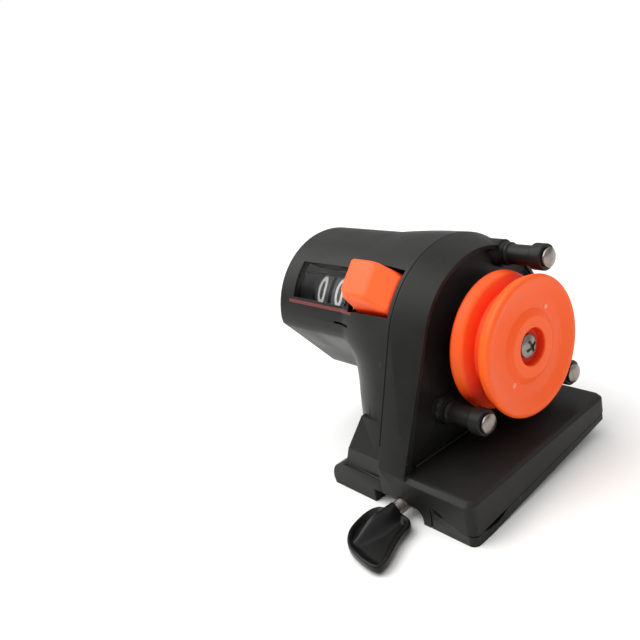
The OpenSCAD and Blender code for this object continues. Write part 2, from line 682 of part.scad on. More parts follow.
// Lower jaw: hinges on the clamp bolt and swings down from the base
jaw_corners = [
    [jaw_left_x + 1, jaw_front_y + 1, 1], [base_right_x - 2, jaw_front_y + 2, 2],
    [base_right_x - base_taper - 2, jaw_rear_y - 2, 2], [jaw_left_x + 1, jaw_rear_y - 1, 1]
];
nail_r = 12;
nail_depth = 0.9;
nail_y = base_front_y + 9;
nail_z = split_z - split_gap - (base_right_x - pad_x) * tan(split_fall)
    + (nail_y - base_front_y) * tan(split_rise);
module jaw_knuckle(range) along_y(range[0], range[1]) {
    translate([bolt_x, bolt_z]) circle(r = knuckle_r);
    translate([bolt_x, bolt_z - arm_t / 2]) square([hinge_right_x + 2 - bolt_x, arm_t]);
}
module rod_jaw() color(black_plastic) difference() {
    union() {
        difference() {
            intersection() {
                hull() for (c = jaw_corners) translate([c[0], c[1], 0])
                    cylinder(h = base_top_z, r = c[2], $fn = 32);
                below_split(split_gap / 2, corner_arc_r + clear, corner_rear_y + clear);
            }
            translate([-far / 2, jaw_flat_y, 0]) rotate([jaw_rise, 0, 0]) translate([0, -far / 2, -far])
                cube([far, 2 * far, far]);
            translate([base_right_x - 3, nail_y, nail_z + nail_r - nail_depth]) rotate([0, 90, 0])
                cylinder(h = 6, r = nail_r);
        }
        jaw_knuckle(knuckle_front);
        jaw_knuckle(knuckle_rear);
    }
    rod_y(base_front_y, base_rear_y + 1, bolt_r + run_gap, [bolt_x, bolt_z]);
    on_split() pad_block(fixed_gap, -1);
}

// Clamp bolt with a collar behind the frame's front wall, its paddle and its nut
paddle_y = base_front_y - paddle_gap;
nut_y = lug_rear[1] + 0.1;
bolt_hold = 7;
module clamp_bolt() color(steel) {
    rod_y(paddle_y - bolt_hold, nut_y + nut_t + 0.3, bolt_r, bolt_at);
    rod_y(corner_rear_y - 0.2 - collar_t, corner_rear_y - 0.2, collar_r, bolt_at);
}
module clamp_nut() color(steel) translate([bolt_x, nut_y, bolt_z]) rotate([-90, 0, 0]) difference() {
    cylinder(h = nut_t, r = nut_af / 2 / cos(30), $fn = 6);
    translate([0, 0, -1]) cylinder(h = nut_t + 2, r = bolt_r + run_gap);
}
half_w = paddle_w / 2;
paddle_points = [
    [-half_w, -0.11 * paddle_l], [-0.82 * half_w, -0.6 * paddle_l], [-0.3 * half_w, -0.84 * paddle_l],
    [0.38 * half_w, -0.95 * paddle_l], [paddle_toe, -paddle_l], [paddle_toe, -0.78 * paddle_l],
    [1.12 * half_w, -0.35 * paddle_l], [half_w, -0.07 * paddle_l], [0.43 * half_w, 0], [-0.27 * half_w, 0]
];
paddle_rim = 1.3;
module paddle_outline(inset) offset(r = -inset) offset(r = 1.6) offset(r = -3) offset(r = 1.4)
    polygon(paddle_points);
module clamp_paddle() color(rubber) difference() {
    union() {
        translate([bolt_x, paddle_y, bolt_z - paddle_drop - paddle_t]) difference() {
            linear_extrude(paddle_t) paddle_outline(0, $fn = 32);
            translate([0, 0, paddle_t - paddle_dish]) linear_extrude(paddle_t)
                paddle_outline(paddle_rim, $fn = 32);
        }
        rod_y(paddle_y - 0.6 * paddle_l, paddle_y, paddle_rib_r, bolt_at);
        translate([bolt_x, paddle_y - 0.6 * paddle_l, bolt_z]) rotate([90, 0, 0])
            cylinder(h = 0.25 * paddle_l, r1 = paddle_rib_r, r2 = 0.6 * paddle_rib_r);
    }
    rod_y(paddle_y - bolt_hold, paddle_y + 1, bolt_r + fixed_gap, bolt_at);
}

// Guide posts: a steel pin with a domed head carries a plastic roller
dome_h = 0.7;
dome_r = (pow(dome_h, 2) + pow(pin_head_d / 2, 2)) / (2 * dome_h);
dome_steps = 6;
module guide_pin(k) color(steel) turned_x(post_at[k]) polygon(concat(
    [[0, pin_seat_x], [pin_r, pin_seat_x], [pin_r, pin_head_x], [pin_head_d / 2, pin_head_x]],
    [for (i = [0 : dome_steps]) let (r = pin_head_d / 2 * (1 - i / dome_steps))
        [r, pin_head_x + pin_head_t + dome_h - dome_r + sqrt(pow(dome_r, 2) - pow(r, 2))]]));
module guide_roller(k) color(rubber) turned_x(post_at[k]) polygon([
    [pin_r + run_gap, roller_left_x], [roller_d / 2 + 0.5, roller_left_x],
    [roller_d / 2 + 0.5, roller_left_x + 1], [roller_d / 2, roller_left_x + 1.4],
    [roller_d / 2, roller_right_x - roller_collar_w - 0.5],
    [roller_collar_d / 2, roller_right_x - roller_collar_w], [roller_collar_d / 2, roller_right_x - 0.5],
    [roller_collar_d / 2 - 0.5, roller_right_x], [pin_r + run_gap, roller_right_x]]);
module guide_pin_top() guide_pin(0);
module guide_pin_front() guide_pin(1);
module guide_pin_rear() guide_pin(2);
module guide_roller_top() guide_roller(0);
module guide_roller_front() guide_roller(1);
module guide_roller_rear() guide_roller(2);

// Line wheel on its axle
rim_edge = 0.9;
module line_wheel() color(orange_plastic) turned_x(axle_at) polygon([
    [axle_r + fixed_gap, hub_end_x], [hub_d / 2, hub_end_x], [hub_d / 2, wheel_left + dish_depth],
    [flange_r - rim_w - 1, wheel_left + dish_depth], [flange_r - rim_w, wheel_left],
    [flange_r - rim_edge, wheel_left], [flange_r, wheel_left + rim_edge],
    [flange_r, wheel_left + rim_w], [groove_r, -groove_root_w / 2],
    [groove_r, groove_root_w / 2], [flange_r, wheel_right - rim_w], [flange_r, wheel_right - rim_edge],
    [flange_r - rim_edge, wheel_right], [flange_r - rim_w, wheel_right],
    [flange_r - rim_w - 1, wheel_right - dish_depth], [ring_d / 2 + 0.8, wheel_right - dish_depth],
    [ring_d / 2, wheel_right - 0.3], [recess_d / 2, wheel_right - 0.3],
    [recess_d / 2, recess_floor_x], [axle_r + fixed_gap, recess_floor_x]]);
screw_r = screw_d / 2;
screw_l = 8;
module wheel_axle() color(steel) turned_x(axle_at) polygon([
    [stub_r + fixed_gap, axle_end_x], [axle_r, axle_end_x],
    [axle_r, clip_x - fixed_gap], [clip_groove_r, clip_x - fixed_gap],
    [clip_groove_r, clip_x + clip_t + fixed_gap], [axle_r, clip_x + clip_t + fixed_gap],
    [axle_r, recess_floor_x - 0.05], [screw_r + fixed_gap, recess_floor_x - 0.05],
    [screw_r + fixed_gap, recess_floor_x - screw_l - 0.3], [0, recess_floor_x - screw_l - 0.3],
    [0, axle_end_x + stub_l], [stub_r + fixed_gap, axle_end_x + stub_l]]);
module wheel_washer() color(steel)
    ring_x(recess_floor_x, recess_floor_x + washer_t, screw_r + 0.1, recess_d / 2 - 0.6, axle_at);
screw_seat_x = recess_floor_x + washer_t;
module wheel_screw() color(steel) difference() {
    turned_x(axle_at) polygon([
        [0, recess_floor_x - screw_l], [screw_r, recess_floor_x - screw_l], [screw_r, screw_seat_x],
        [screw_head_d / 2, screw_seat_x], [screw_head_d / 2, screw_seat_x + 0.6 * screw_head_t],
        [0.62 * screw_head_d / 2, screw_seat_x + screw_head_t], [0, screw_seat_x + screw_head_t]]);
    translate([screw_seat_x + 0.4 * screw_head_t, 0, axle_z]) rotate([0, 90, 0])
        cylinder(h = screw_head_t, r = 0.2 * screw_head_d, $fn = 6);
}
module axle_clip() color(steel)
    ring_x(clip_x, clip_x + clip_t, clip_groove_r + fixed_gap, axle_r + 1.1, axle_at);
module wheel_bush() color(brass) turned_x(axle_at) polygon([
    [axle_r + run_gap, bush_rear_x], [bush_r, bush_rear_x], [bush_r, face_x], [bush_flange_r, face_x],
    [bush_flange_r, bush_front_x], [axle_r + run_gap, bush_front_x]]);
module shaft_seal() color(rubber)
    ring_x(bush_front_x, seal_front_x, axle_r + run_gap, bush_flange_r - 0.4, axle_at);

// Gear train, hundred to one in three steps
module axle_pinion() color(brass) {
    gear(plane_1 - gear_w, plane_1, pinion_teeth, gear_module, axle_at);
    rod_x(plane_1 - 0.1, axle_end_x + stub_l - 0.3, stub_r, axle_at);
}
module lay_gear_1() color(white_plastic) difference() {
    union() {
        gear(plane_1 - gear_w, plane_1, lay_teeth, gear_module, lay_1_at, phase_lay_1);
        gear(plane_2 - gear_w, plane_1 - gear_w / 2, pinion_teeth, gear_module, lay_1_at);
    }
    rod_x(plane_3 - 10, plane_1 + 1, lay_pin_r + run_gap, lay_1_at);
}
module lay_gear_2() color(white_plastic) difference() {
    union() {
        gear(plane_2 - gear_w, plane_2, lay_teeth, gear_module, lay_2_at, phase_lay_2);
        gear(plane_3 - gear_w, plane_2 - gear_w / 2, pinion_teeth, gear_module, lay_2_at);
    }
    rod_x(plane_3 - 10, plane_2 + 1, lay_pin_r + run_gap, lay_2_at);
}
module lay_pin_1() color(steel)
    rod_x(gear_plate_x - gear_plate_t + 0.2, seam_x + lay_pin_seat, lay_pin_r, lay_1_at);
module lay_pin_2() color(steel) rod_x(plane_3 - gear_w - 0.3, seam_x + lay_pin_seat, lay_pin_r, lay_2_at);
lay_pass_r = gear_module * (pinion_teeth / 2 + 0.8) + clear;
module gear_plate() color(steel) difference() {
    union() {
        along_x(gear_plate_x - gear_plate_t, gear_plate_x) hull() {
            for (at = pillar_at) translate(at) circle(r = pillar_r + 0.4, $fn = 32);
            for (at = [lay_1_at, carry_at]) translate(at) circle(r = lay_pin_r + 1.4, $fn = 32);
            translate(number_at) circle(r = number_hub_r, $fn = 32);
            translate(drum_at + (spring_shelf - shelf_t) * [-sin(button_angle), cos(button_angle)])
                circle(r = 1.5, $fn = 32);
        }
        on_drum(button_angle) translate([shelf_x, -shelf_half_y, spring_shelf - shelf_t])
            cube([gear_plate_x - shelf_x, 2 * shelf_half_y, shelf_t]);
    }
    for (at = pillar_at) rod_x(gear_plate_x - 5, gear_plate_x + 1, pillar_screw_r + fixed_gap, at);
    rod_x(gear_plate_x - 5, gear_plate_x + 1, lay_pin_r + fixed_gap, lay_1_at);
    rod_x(gear_plate_x - 5, gear_plate_x + 1, lay_pass_r, lay_2_at);
    rod_x(gear_plate_x - 5, gear_plate_x + 1, number_shaft_r + fixed_gap, number_at);
    rod_x(gear_plate_x - 5, gear_plate_x + 1, carry_shaft_r + fixed_gap, carry_at);
}
module gear_plate_screws() color(steel) for (at = pillar_at) {
    rod_x(gear_plate_x - gear_plate_t - 0.1, gear_plate_x + 6, pillar_screw_r, at);
    rod_x(gear_plate_x - gear_plate_t - pillar_head_t, gear_plate_x - gear_plate_t, pillar_head_r, at);
}
module housing_screws() color(steel) for (y = housing_screw_y) {
    rod_x(housing_seat_x - 0.1, housing_screw_tip_x, housing_screw_r, [y, housing_screw_z]);
    rod_x(housing_seat_x - housing_head_t, housing_seat_x, housing_head_r, [y, housing_screw_z]);
}

// Counter: number wheels on a fixed shaft, carry pinions on a second one
module number_shaft() color(steel) rod_x(end_wall_x - 0.4, gear_plate_x - 0.2, number_shaft_r, number_at);
module carry_shaft() color(steel) rod_x(end_wall_x - 0.4, gear_plate_x - 0.2, carry_shaft_r, carry_at);
module number_wheel(k, hub_right_x) color(dark_plastic) {
    middle = units_x - k * number_pitch;
    left = middle - number_w / 2;
    right = middle + number_w / 2;
    hub_left_x = middle - number_hub_l / 2;
    difference() {
        union() {
            turned_x(number_at) polygon([
                [0, hub_left_x], [number_hub_r, hub_left_x], [number_hub_r, right - number_wall],
                [number_r - number_wall, right - number_wall], [number_r - number_wall, left],
                [number_r, left], [number_r, right], [number_hub_r, right],
                [number_hub_r, hub_right_x], [0, hub_right_x]]);
            rod_x(hub_left_x, left, cam_r - cam_shift, number_at + [cam_shift, 0]);
            children();
        }
        rod_x(hub_left_x - 1, hub_right_x + 1, number_shaft_r + run_gap, number_at);
    }
}
module number_wheel_units() number_wheel(0, plane_3)
    gear(plane_3 - gear_w, plane_3, drive_teeth, gear_module, number_at, phase_drive);
module number_wheel_tens() number_wheel(1, units_x - number_pitch + number_hub_l / 2);
module number_wheel_hundreds() number_wheel(2, units_x - 2 * number_pitch + number_hub_l / 2);
module carry_pinion(k) color(white_plastic) difference() {
    gear(units_x - (k + 0.5) * number_pitch - carry_w / 2, units_x - (k + 0.5) * number_pitch + carry_w / 2,
        carry_teeth, carry_module, carry_at);
    rod_x(drum_end_x, seam_x, carry_shaft_r + run_gap, carry_at);
}
module carry_pinion_tens() carry_pinion(0);
module carry_pinion_hundreds() carry_pinion(1);

// Reset button with its spring and the comb that it pushes past the number wheels
module reset_button() color(orange_plastic) on_drum(button_angle) hull() {
    for (y = [-1, 1], x = [button_left_x + button_edge, ridge_x])
        translate([x, y * (button_flat_w / 2 - button_edge), button_top - button_edge])
            sphere(r = button_edge, $fn = 24);
    for (y = [button_low_y + 1 + button_edge, button_right_y - button_edge])
        translate([button_right_x - button_edge, y, button_low - button_edge])
            sphere(r = button_edge, $fn = 24);
    translate([0, 0, button_seat]) linear_extrude(1) button_outline(0);
}
module reset_spring() color(steel) on_drum(button_angle)
    translate([spring_x, 0, spring_shelf + comb_gap]) difference() {
        cylinder(h = button_seat - spring_shelf - 2 * comb_gap, r = spring_d / 2);
        translate([0, 0, -1]) cylinder(h = button_seat, r = spring_d / 2 - 0.8);
    }
module reset_comb() color(white_plastic) on_drum(button_angle) {
    along_x(comb_x, comb_x + comb_t) polygon([
        [comb_tab[0], button_seat - comb_gap], [comb_tab[1], button_seat - comb_gap],
        [comb_bar_y + comb_bar_t / 2, number_offset + comb_bar_h / 2],
        [comb_bar_y + comb_bar_t / 2, number_offset - comb_bar_h / 2],
        [comb_bar_y - comb_bar_t / 2, number_offset - comb_bar_h / 2], [comb_tab[0], button_seat - 4]]);
    translate([comb_end_x, comb_bar_y - comb_bar_t / 2, number_offset - comb_bar_h / 2])
        cube([comb_x + comb_t / 2 - comb_end_x, comb_bar_t, comb_bar_h]);
    for (k = [0 : 2])
        translate([units_x - (k + 0.5) * number_pitch, finger_tip_y, number_offset])
        translate([-finger_t / 2, 0, -finger_h / 2])
        cube([finger_t, comb_bar_y - finger_tip_y, finger_h]);
}

main_frame();
counter_housing();
window_lens();
gear_plate();
gear_plate_screws();
housing_screws();
wheel_bush();
shaft_seal();
guide_pin_top();
guide_pin_front();
guide_pin_rear();
guide_roller_top();
guide_roller_front();
guide_roller_rear();
base_pad();
number_shaft();
carry_shaft();
lay_pin_1();
lay_pin_2();
clamp_nut();
reset_spring();
reset_button();
reset_comb();
line_wheel();
wheel_axle();
wheel_washer();
wheel_screw();
axle_clip();
axle_pinion();
lay_gear_1();
lay_gear_2();
number_wheel_units();
number_wheel_tens();
number_wheel_hundreds();
carry_pinion_tens();
carry_pinion_hundreds();
rod_jaw();
jaw_pad();
clamp_bolt();
clamp_paddle();
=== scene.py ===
"""Fishing line counter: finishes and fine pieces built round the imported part, in metres."""

import json
import math

import bmesh
import bpy
from mathutils import Matrix, Vector
from mathutils.bvhtree import BVHTree
from mathutils.geometry import delaunay_2d_cdt, intersect_point_line

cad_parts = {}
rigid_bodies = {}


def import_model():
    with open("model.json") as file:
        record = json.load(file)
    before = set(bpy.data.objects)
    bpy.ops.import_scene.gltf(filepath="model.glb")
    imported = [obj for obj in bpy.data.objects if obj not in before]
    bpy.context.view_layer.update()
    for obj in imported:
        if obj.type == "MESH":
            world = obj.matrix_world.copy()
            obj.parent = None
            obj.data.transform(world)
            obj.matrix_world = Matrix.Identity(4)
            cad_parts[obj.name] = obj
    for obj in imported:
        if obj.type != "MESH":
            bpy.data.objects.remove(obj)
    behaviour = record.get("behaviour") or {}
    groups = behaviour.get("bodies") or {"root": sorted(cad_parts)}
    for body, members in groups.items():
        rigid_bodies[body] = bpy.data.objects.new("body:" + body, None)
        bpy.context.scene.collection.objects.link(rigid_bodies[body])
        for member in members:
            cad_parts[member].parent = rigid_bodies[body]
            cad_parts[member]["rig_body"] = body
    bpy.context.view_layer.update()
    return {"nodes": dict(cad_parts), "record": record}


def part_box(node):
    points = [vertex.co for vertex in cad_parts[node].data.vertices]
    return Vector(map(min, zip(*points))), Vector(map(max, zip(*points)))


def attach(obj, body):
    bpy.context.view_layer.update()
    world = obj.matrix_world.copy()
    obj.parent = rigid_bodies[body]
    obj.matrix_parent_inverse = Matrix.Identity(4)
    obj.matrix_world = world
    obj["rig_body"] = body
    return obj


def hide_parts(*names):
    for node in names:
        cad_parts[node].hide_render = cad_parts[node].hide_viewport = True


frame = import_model()

bl_info = {
    "name": "Fishing line counter",
    "version": (1, 0, 0),
    "blender": (4, 5, 0),
    "location": "3D View > Sidebar > Line counter",
    "description": "Builds the finishes and fine pieces of a rod-clamped fishing line counter",
    "category": "Object",
}

MM = 0.001
# Steps over a domed head and round a turned piece's corner
HEAD_STEPS = 6
CORNER_STEPS = 5


def linear(hex_colour):
    """Turns an sRGB hex value into linear red, green, blue and full alpha."""
    channels = [int(hex_colour[i:i + 2], 16) / 255 for i in (1, 3, 5)]
    return [c / 12.92 if c <= 0.04045 else ((c + 0.055) / 1.055) ** 2.4 for c in channels] + [1.0]


def middle(node):
    """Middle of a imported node's box."""
    low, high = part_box(node)
    return (low + high) / 2


def size(label, note, value):
    """A length in millimetres, kept in metres."""
    return bpy.props.FloatProperty(
        name=label, description=note, default=value * MM, unit="LENGTH", precision=5)


def angle(label, note, value):
    """An angle in degrees, kept in radians."""
    return bpy.props.FloatProperty(
        name=label, description=note, default=math.radians(value), subtype="ANGLE")


def count(label, note, value):
    """A whole number of copies or steps."""
    return bpy.props.IntProperty(name=label, description=note, default=value, min=1)


def share(label, note, value):
    """A share or a strength, where 1 is the whole."""
    return bpy.props.FloatProperty(name=label, description=note, default=value, min=0)


def along(label, note, value):
    """A direction in the part's frame."""
    return bpy.props.FloatVectorProperty(name=label, description=note, default=value, subtype="DIRECTION")


def colour(label, note, hex_colour):
    """A colour given as sRGB hex."""
    return bpy.props.FloatVectorProperty(
        name=label, description=note, default=linear(hex_colour), size=4, subtype="COLOR", min=0, max=1)


class ShellSettings(bpy.types.PropertyGroup):
    """Sizes of the dark strip painted as the seam's shadow, the rib at the base, and the dark lenses painted
    as the shadow on the split at the pads' front ends.
    """

    seam_x: size("Seam", "Where the housing meets the frame", -20.1)
    # The seam settings below place a dark rubber strip painted as the seam's shadow.
    seam_w: size("Seam width", "Width of the dark strip painted as the seam's shadow", 0.45)
    seam_lift: size("Seam lift", "How far the painted seam shadow stands on the skin", 0.02)
    seam_from: angle("Seam start", "Where the painted seam shadow starts, from straight up towards the front", -108)
    seam_to: angle("Seam end", "Direction where the painted seam shadow ends", 116)
    rib_x: size("Rib", "Left side of the rib where the frame's wall meets its base", -11.7)
    rib_w: size("Rib width", "Width of that rib", 1.5)
    rib_front: size("Rib front", "Front end of the rib", -36)
    rib_back: size("Rib back", "Rear end of the rib", 22)
    rib_z: size("Rib foot", "Height of the rib's foot", 12.8)
    rib_h: size("Rib height", "Height of the rib itself", 0.9)
    rib_edge: size("Rib edge", "Rounding of the rib's edges", 0.3)
    # These settings place a dark rubber lens painted as the shadow of the gap on the split.
    pad_x: size("Split shadow", "Middle of the shadow painted on the split, across the frame", 1.3)
    pad_z: size("Split shadow height", "Height of that middle", 6)
    pad_half: size("Split shadow reach", "Half length of the painted shadow along the split", 2.6)
    pad_tilt: angle("Split shadow tilt", "How far the split falls to the right", 18.67)
    pad_up: size("Base side shadow bulge", "How far the painted shadow bulges upwards on the base's side", 0.75)
    pad_down: size("Jaw side shadow bulge", "How far the painted shadow bulges downwards on the jaw's side", 0.65)
    pad_proud: size("Split shadow lift", "How far the painted shadow stands out at the front", 0.03)


class WheelSettings(bpy.types.PropertyGroup):
    """Sizes of the line wheel."""

    width: size("Width", "Width over both flanges", 13.5)
    rim: size("Rim", "Width of each flange at its edge", 2.2)
    rim_round: size("Rim rounding", "Rounding of the flange edges", 1.05)
    lip: size("Lip", "Width of the soft lip inside each flange", 3.9)
    lip_drop: size("Lip drop", "How far the lip falls towards the groove", 1.3)
    lip_round: size("Lip rounding", "Rounding between the lip and the groove's side", 2)
    groove_d: size("Groove diameter", "Diameter at the bottom of the groove", 31.83)
    groove_w: size("Groove width", "Width of the flat at the bottom of the groove", 2.4)
    dish: size("Dish", "Depth of the dish in each face", 1.5)
    face_slope: size("Face slope", "Width and rounding of the slope from the rim into the front dish", 4)
    back_slope: size("Back slope", "Width of the slope from the rim into the rear dish", 1)
    ring_d: size("Ring diameter", "Diameter of the raised ring round the hub", 20)
    ring_drop: size("Ring drop", "How far the ring stays below the rim", 0.3)
    ring_out: size("Ring foot", "How far the ring's shoulder spreads outside its diameter", 0.9)
    ring_in: size("Ring shoulder", "How far the shoulder reaches inside its diameter", 1.2)
    ring_foot: size("Ring foot rounding", "Rounding at the foot of the shoulder", 0.8)
    ring_round: size("Ring rounding", "Rounding at the top of the shoulder", 1)
    fillet: size("Fillet", "Rounding of the other corners", 0.5)
    recess_d: size("Recess diameter", "Diameter of the recess that holds the screw", 11)
    recess_depth: size("Recess depth", "Depth of that recess", 3.2)
    hub_d: size("Hub diameter", "Diameter of the boss behind the wheel", 10)
    bore_d: size("Bore", "Diameter of the bore on the axle", 5.04)
    mark_d: size("Mark diameter", "Diameter of the two ejector marks on the face", 1.6)
    mark_h: size("Mark height", "How far a mark stands out", 0.35)
    upper_mark_r: size("Upper mark", "Distance of the upper mark from the axle", 12.4)
    upper_mark_turn: angle("Upper mark direction", "Its direction, from the rear towards the top", 44.6)
    lower_mark_r: size("Lower mark", "Distance of the lower mark from the axle", 12.1)
    lower_mark_turn: angle("Lower mark direction", "Its direction, from the rear towards the top", -136.7)
    segments: count("Segments", "Steps round the wheel", 144)


class ScrewSettings(bpy.types.PropertyGroup):
    """Sizes of the screw and washer in the wheel's hub."""

    head_d: size("Head diameter", "Diameter of the screw's head", 7.2)
    head_h: size("Head height", "Height of the head to the top of its crown", 1.7)
    head_edge: size("Head edge", "Height of the head at its edge", 0.7)
    shank_d: size("Shank", "Diameter of the screw's shank", 3)
    slot: size("Cross arm", "Width of each arm of the cross recess", 0.9)
    reach: size("Cross length", "Length of the cross recess", 4.4)
    depth: size("Cross depth", "Depth of the cross recess", 1)
    turn: angle("Cross turn", "How far the cross is turned", 20)
    washer_d: size("Washer", "Diameter of the washer under the head", 7)
    washer_gap: size("Washer gap", "Gap between the washer and the shank", 0.1)
    segments: count("Segments", "Steps round the screw and its washer", 64)


class GuideSettings(bpy.types.PropertyGroup):
    """Sizes of the guide rollers and their pins."""

    roller_d: size("Roller diameter", "Diameter of a roller", 6)
    collar_w: size("Collar width", "Width of the outer collar", 3.8)
    collar_slope: size("Collar slope", "Width of the slope up to the collar", 0.5)
    collar_edge: size("Collar edge", "Rounding of the collar's outer edge", 0.45)
    flange_d: size("Inner flange", "Diameter of the flange next to the frame", 7)
    flange_w: size("Flange width", "Width of that flange", 1)
    flange_slope: size("Flange slope", "Width of the slope down from that flange", 0.4)
    bore_gap: size("Bore gap", "Gap between a roller and its pin", 0.05)
    pin_d: size("Pin diameter", "Diameter of a pin", 3)
    head_h: size("Head height", "Height of a pin's head to the top of its dome", 1.4)
    head_edge: size("Head edge", "Height of a pin's head at its edge", 0.7)
    segments: count("Segments", "Steps round a roller or pin", 64)


class CounterSettings(bpy.types.PropertyGroup):
    """Sizes of the numbers, the window's well and the index line."""

    drum_z: size("Drum axis", "Height of the drum's axis", 42.4)
    window: angle("Window direction", "Direction of the window, from straight up towards the front", 52.4)
    mask_from: angle("Mask start", "Direction where the wheels' mask starts", 14)
    mask_to: angle("Mask end", "Direction where it ends and the numbers show", 38.6)
    mask_past: size("Mask reach", "How far the mask runs on past the window's left end", 6)
    blank_to: angle("Blank end", "Where the blank beside the wheels ends, past the window's direction", 45)
    blank_drop: size("Blank drop", "How far the blank lies below the mask", 1.2)
    blank_gap: size("Blank gap", "Gap between the blank and the hundreds wheel", 0.3)
    well_t: size("Well wall", "Thickness of the well's walls", 0.8)
    well_gap: size("Well gap", "Gap between the well and the number wheels", 0.5)
    well_half: size("Well reach", "Half height of the well, round the drum", 6.2)
    well_top: size("Well top", "Height of the well's top above the drum axis", 22.4)
    well_end: share("Well end", "Where the right wall's foot lies from the wheels' axis to their rim", 0.5)
    digit_h: size("Number height", "Height of a number", 9.8)
    digit_w: size("Number width", "Width of a number", 3.9)
    one_w: share("Width of the one", "Width of the number 1, as a share of the others", 0.45)
    stroke: share("Stroke", "How much each stroke is thickened, as a share of the type's size", 0.015)
    units_x: size("Units wheel", "Middle of the units wheel", -47.7)
    pitch: size("Wheel pitch", "Distance from one number wheel to the next", 8.9)
    print_t: size("Print thickness", "How far a print stands on its wheel or the housing", 0.05)
    zero_at: angle("Zero angle", "Direction of the zero, from straight up towards the front", 56.6)
    line_from: size("Line start", "Left end of the index line", -72.8)
    line_to: size("Line end", "Right end of the index line", -39.3)
    line_low: angle("Line lower edge", "Direction of the line's lower edge", 70.9)
    line_high: angle("Line upper edge", "Direction of the line's upper edge", 68.4)


class ButtonSettings(bpy.types.PropertyGroup):
    """Sizes of the reset button and its spring."""

    direction: angle("Direction", "Direction of the button, from straight up towards the front", 48.5)
    ridge_x: size("Ridge", "Where the flat meets the sloping face", -30.5)
    seat: size("Seat", "Height of the button's foot above the drum axis", 22.4)
    top: size("Flat height", "Height of the flat above the drum axis", 31.4)
    low: size("Low edge height", "Height of the sloping face at its right edge", 27.2)
    flat_w: size("Flat width", "Width of the flat round the drum", 11.6)
    foot_low: size("Foot, lower end", "Lower end of the foot round the drum", -9)
    foot_left: size("Foot, lower left corner", "Where the foot's lower edge starts", -38.5)
    foot_high: size("Foot, upper left end", "Upper end of the foot's left edge", 7)
    foot_right: size("Foot, upper right end", "Upper end of the foot's right edge", 4.4)
    draft_low: size("Lower draft", "How far the right side leans in at its lower end", 1)
    draft_high: size("Upper draft", "How far the right side leans in at its upper end", 1.5)
    edge: size("Edge rounding", "Rounding of the edges", 1.1)
    wire: size("Spring wire", "Diameter of the spring's wire", 0.6)
    coil_d: size("Spring diameter", "Outer diameter of the spring", 4.8)
    shelf: size("Spring shelf", "Height of the spring's foot above the drum axis", 18.45)
    turns: count("Spring turns", "Turns of the return spring", 4)


class ClampSettings(bpy.types.PropertyGroup):
    """Sizes of the clamp paddle and the bolt's thread."""

    axis_x: size("Bolt across", "Where the bolt lies across the frame", -12)
    axis_z: size("Bolt height", "Height of the bolt's axis", 3.9)
    bolt_d: size("Bolt diameter", "Diameter of the bolt", 4)
    bolt_hold: size("Bolt hold", "Length of the bolt inside the paddle", 7)
    paddle_y: size("Paddle start", "End of the paddle next to the frame", -44.6)
    length: size("Paddle length", "Length of the paddle", 21.1)
    width: size("Paddle width", "Width of the paddle at the bolt", 15.4)
    toe: size("Paddle toe", "Reach of the paddle's toe beside the bolt", 13.1)
    top: size("Paddle height", "Height of the paddle's rim", 3.5)
    thick: size("Paddle thickness", "Thickness of the paddle at its rim", 2.8)
    dish: size("Paddle dish", "Depth of the dished face", 1.1)
    dish_slope: size("Dish slope", "Width of the slope from the rim into the dish", 2)
    dish_grid: size("Dish grid", "Spacing of the points in the dished face", 0.45)
    cover: size("Rib cover", "Height of the rib's crown above the bolt", 0.7)
    rib_w: size("Paddle rib", "Half width of the rib along the bolt, down to the dish", 4.5)
    rib_run: share("Rib run", "Share of the paddle's length over which the rib dies out", 0.55)
    rib_end: share("Rib end height", "Height of the rib at its far end, as a share", 0.12)
    rib_end_w: share("Rib end width", "Width of the rib at its far end, as a share", 0.35)
    pitch: size("Thread pitch", "Pitch of the bolt's thread", 0.7)
    ridge: size("Thread ridge", "Radius of the thread's ridge", 0.22)
    ridge_sink: size("Ridge sink", "How far the ridge's middle lies inside the bolt's skin", 0.12)
    thread_gap: size("Thread gap", "Gap between the thread and the pieces at its ends", 0.2)


class FinishSettings(bpy.types.PropertyGroup):
    """Colours of the finishes."""

    black: colour("Black ABS", "Moulded frame, housing, jaw and rollers", "#151513")
    gloss: colour("Black nylon", "Glossy clamp paddle", "#0a0a09")
    orange: colour("Orange ABS", "Line wheel and button", "#ff5e0e")
    # Painted shade: a redder orange that moulded_abs mixes into occluded recesses, standing in for shade and
    # orange bounce light.
    deep_orange: colour("Painted shade on orange ABS", "Where orange faces light each other", "#ec2c0c")
    # The wheel's ejector marks are drawn in this paler orange.
    pale: colour("Pale orange ABS", "Paler orange on the wheel's ejector marks", "#ff9a70")
    steel: colour("Stainless steel", "Pins, screws, bolt and plates", "#877c73")
    brass: colour("Brass", "Bush and pinion", "#c39a4f")
    acetal: colour("Natural acetal", "Gears and comb", "#dcd9cf")
    grey: colour("Grey acetal", "Number wheels", "#38383a")
    # This rubber also colours the dark strips painted as shadows in the seam and on the split.
    rubber: colour("Black rubber", "Pads, and dark strips painted as shadows in the seam and on the split", "#070707")
    white: colour("White ink", "Numbers", "#e9e8e4")
    red: colour("Red ink", "Index line", "#6a1d19")


